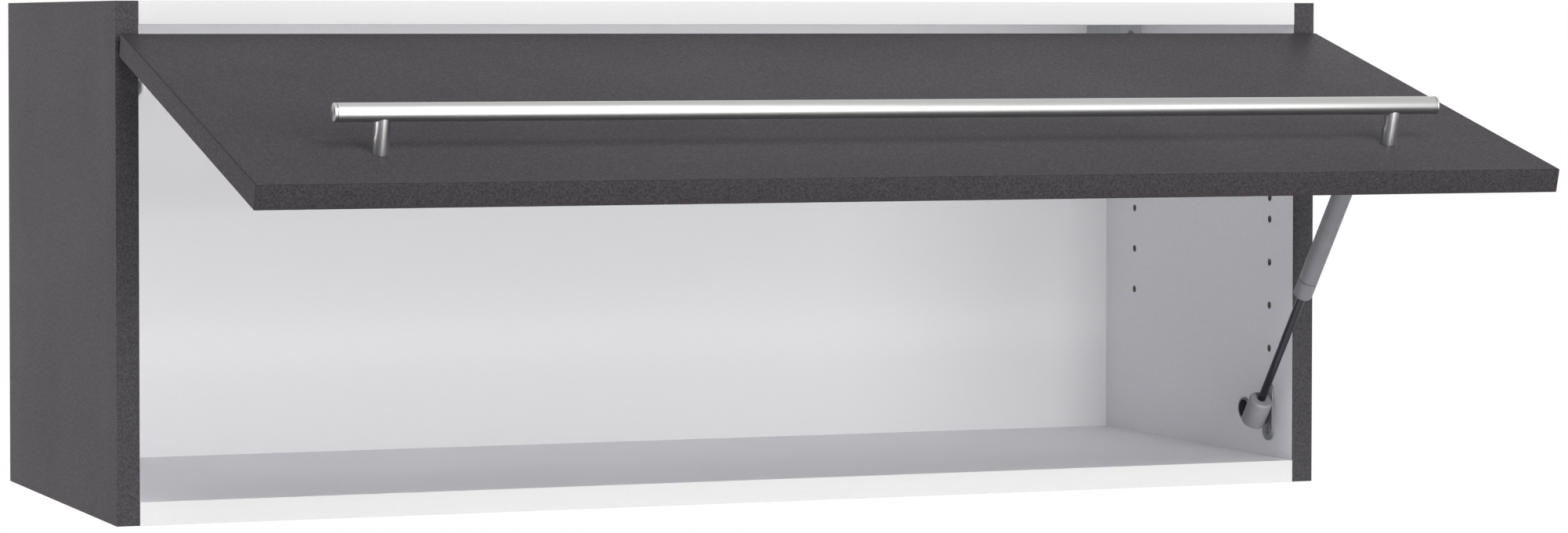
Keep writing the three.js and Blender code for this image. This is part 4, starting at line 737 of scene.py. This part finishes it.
for end, z in (("lower", 27.0), ("upper", 56.0)):
    piece(f"strut_plate_screw_{end}",
          turned(board_screw, (PLATE_BACK, -293.0, z), (-1, 0, 0), 96, crossed(1.0, 1.95, 1.4)),
          [dark_screw], "carcass", [f"strut_wall_screw_{end}"], sharp=30)
    dress(dark_screw, f"strut_flap_screw_{end}")
dress(grey_zinc, "strut_flap_bracket")
dress(stud_steel_dark_as_gap_shade, "strut_flap_ball")

# ---- floor and light ----
# A pale studio floor lies under the hanging cabinet and keeps its shadow. The camera, and what
# mirrors or lets light through, see a white surround; soft lamps and a dimmer sky give the light.
FLOOR_REACH, FLOOR_Z = 4000, -1400.0
floor_paint, tree, bsdf, place = new_material("pale_studio_floor",
                                              {"IOR": 1.45, "Emission Color": (1, 1, 1, 1)})
mottle = add(tree, "ShaderNodeTexNoise", {"Vector": (place, "Object"), "Scale": 3, "Detail": 3})
tone = add(tree, "ShaderNodeMix", {0: (mottle, 0), 6: linear("#EFEFEF"), 7: linear("#F4F4F4")},
           data_type="RGBA")
gloss = add(tree, "ShaderNodeMapRange", {0: (mottle, 0), 3: 0.6, 4: 0.75})
glow = add(tree, "ShaderNodeMath", {0: (add(tree, "ShaderNodeLightPath"), "Is Camera Ray"), 1: 0.3},
           operation="MULTIPLY")
tree.links.new(glow.outputs[0], bsdf.inputs["Emission Strength"])
tree.links.new(tone.outputs[2], bsdf.inputs["Base Color"])
tree.links.new(gloss.outputs[0], bsdf.inputs["Roughness"])
reach = np.linspace(-FLOOR_REACH, FLOOR_REACH, 9)
across, ahead = np.meshgrid(reach, reach, indexing="ij")
points, quads, _, _ = surface(np.stack([across, ahead, np.full(across.shape, FLOOR_Z)], 2))
floor_mesh = bpy.data.meshes.new("studio_floor")
floor_mesh.from_pydata(points * MM, [], quads)
floor_mesh.materials.append(floor_paint)
floor = bpy.data.objects.new("studio_floor", floor_mesh)
bpy.context.scene.collection.objects.link(floor)
floor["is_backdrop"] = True

SKY = 0.25
world = bpy.data.worlds.new("studio")
bpy.context.scene.world = world
world.use_nodes = True
tree = world.node_tree
tree.nodes.clear()
path = add(tree, "ShaderNodeLightPath")
seen = add(tree, "ShaderNodeMath", {0: (path, "Is Camera Ray"), 1: (path, "Is Glossy Ray")},
           operation="MAXIMUM")
seen = add(tree, "ShaderNodeMath", {0: (seen, 0), 1: (path, "Is Transmission Ray")}, operation="MAXIMUM")
power = add(tree, "ShaderNodeMapRange", {0: (seen, 0), 3: SKY, 4: 1.0})
sky = add(tree, "ShaderNodeBackground", {"Color": (1, 1, 1, 1), "Strength": (power, 0)})
add(tree, "ShaderNodeOutputWorld", {"Surface": (sky, 0)})

LAMPS = {  # place in metres, width and height in metres, watts
    "high_front": ((-0.26, -3.16, 2.02), (1.4, 0.9), 52),
    "front": ((0.47, -3.56, 1.02), (1.0, 0.7), 24),
    "tall_front": ((0.18, -3.7, 0.17), (1.4, 2.2), 55),
    "tall_right": ((1.75, -3.23, 0.17), (1.4, 2.2), 20),
    "left": ((-3.14, 0.35, 0.45), (1.6, 1.6), 80),
}
AIM = (0, -0.25, 0.17)
for name, (place, size, watts) in LAMPS.items():
    data = bpy.data.lights.new(name, "AREA")
    data.shape, data.size, data.size_y, data.energy = "RECTANGLE", *size, watts
    lamp = bpy.data.objects.new(name, data)
    bpy.context.scene.collection.objects.link(lamp)
    lamp.location = place
    way = np.array(place) - np.array(AIM)
    lamp.rotation_euler = (np.arctan2(np.hypot(way[0], way[1]), way[2]), 0, np.arctan2(way[0], -way[1]))

bpy.context.scene.view_settings.view_transform = "Standard"
size = {"cad": [list(v) for v in cad_box], "visual": [list(v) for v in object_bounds()]}
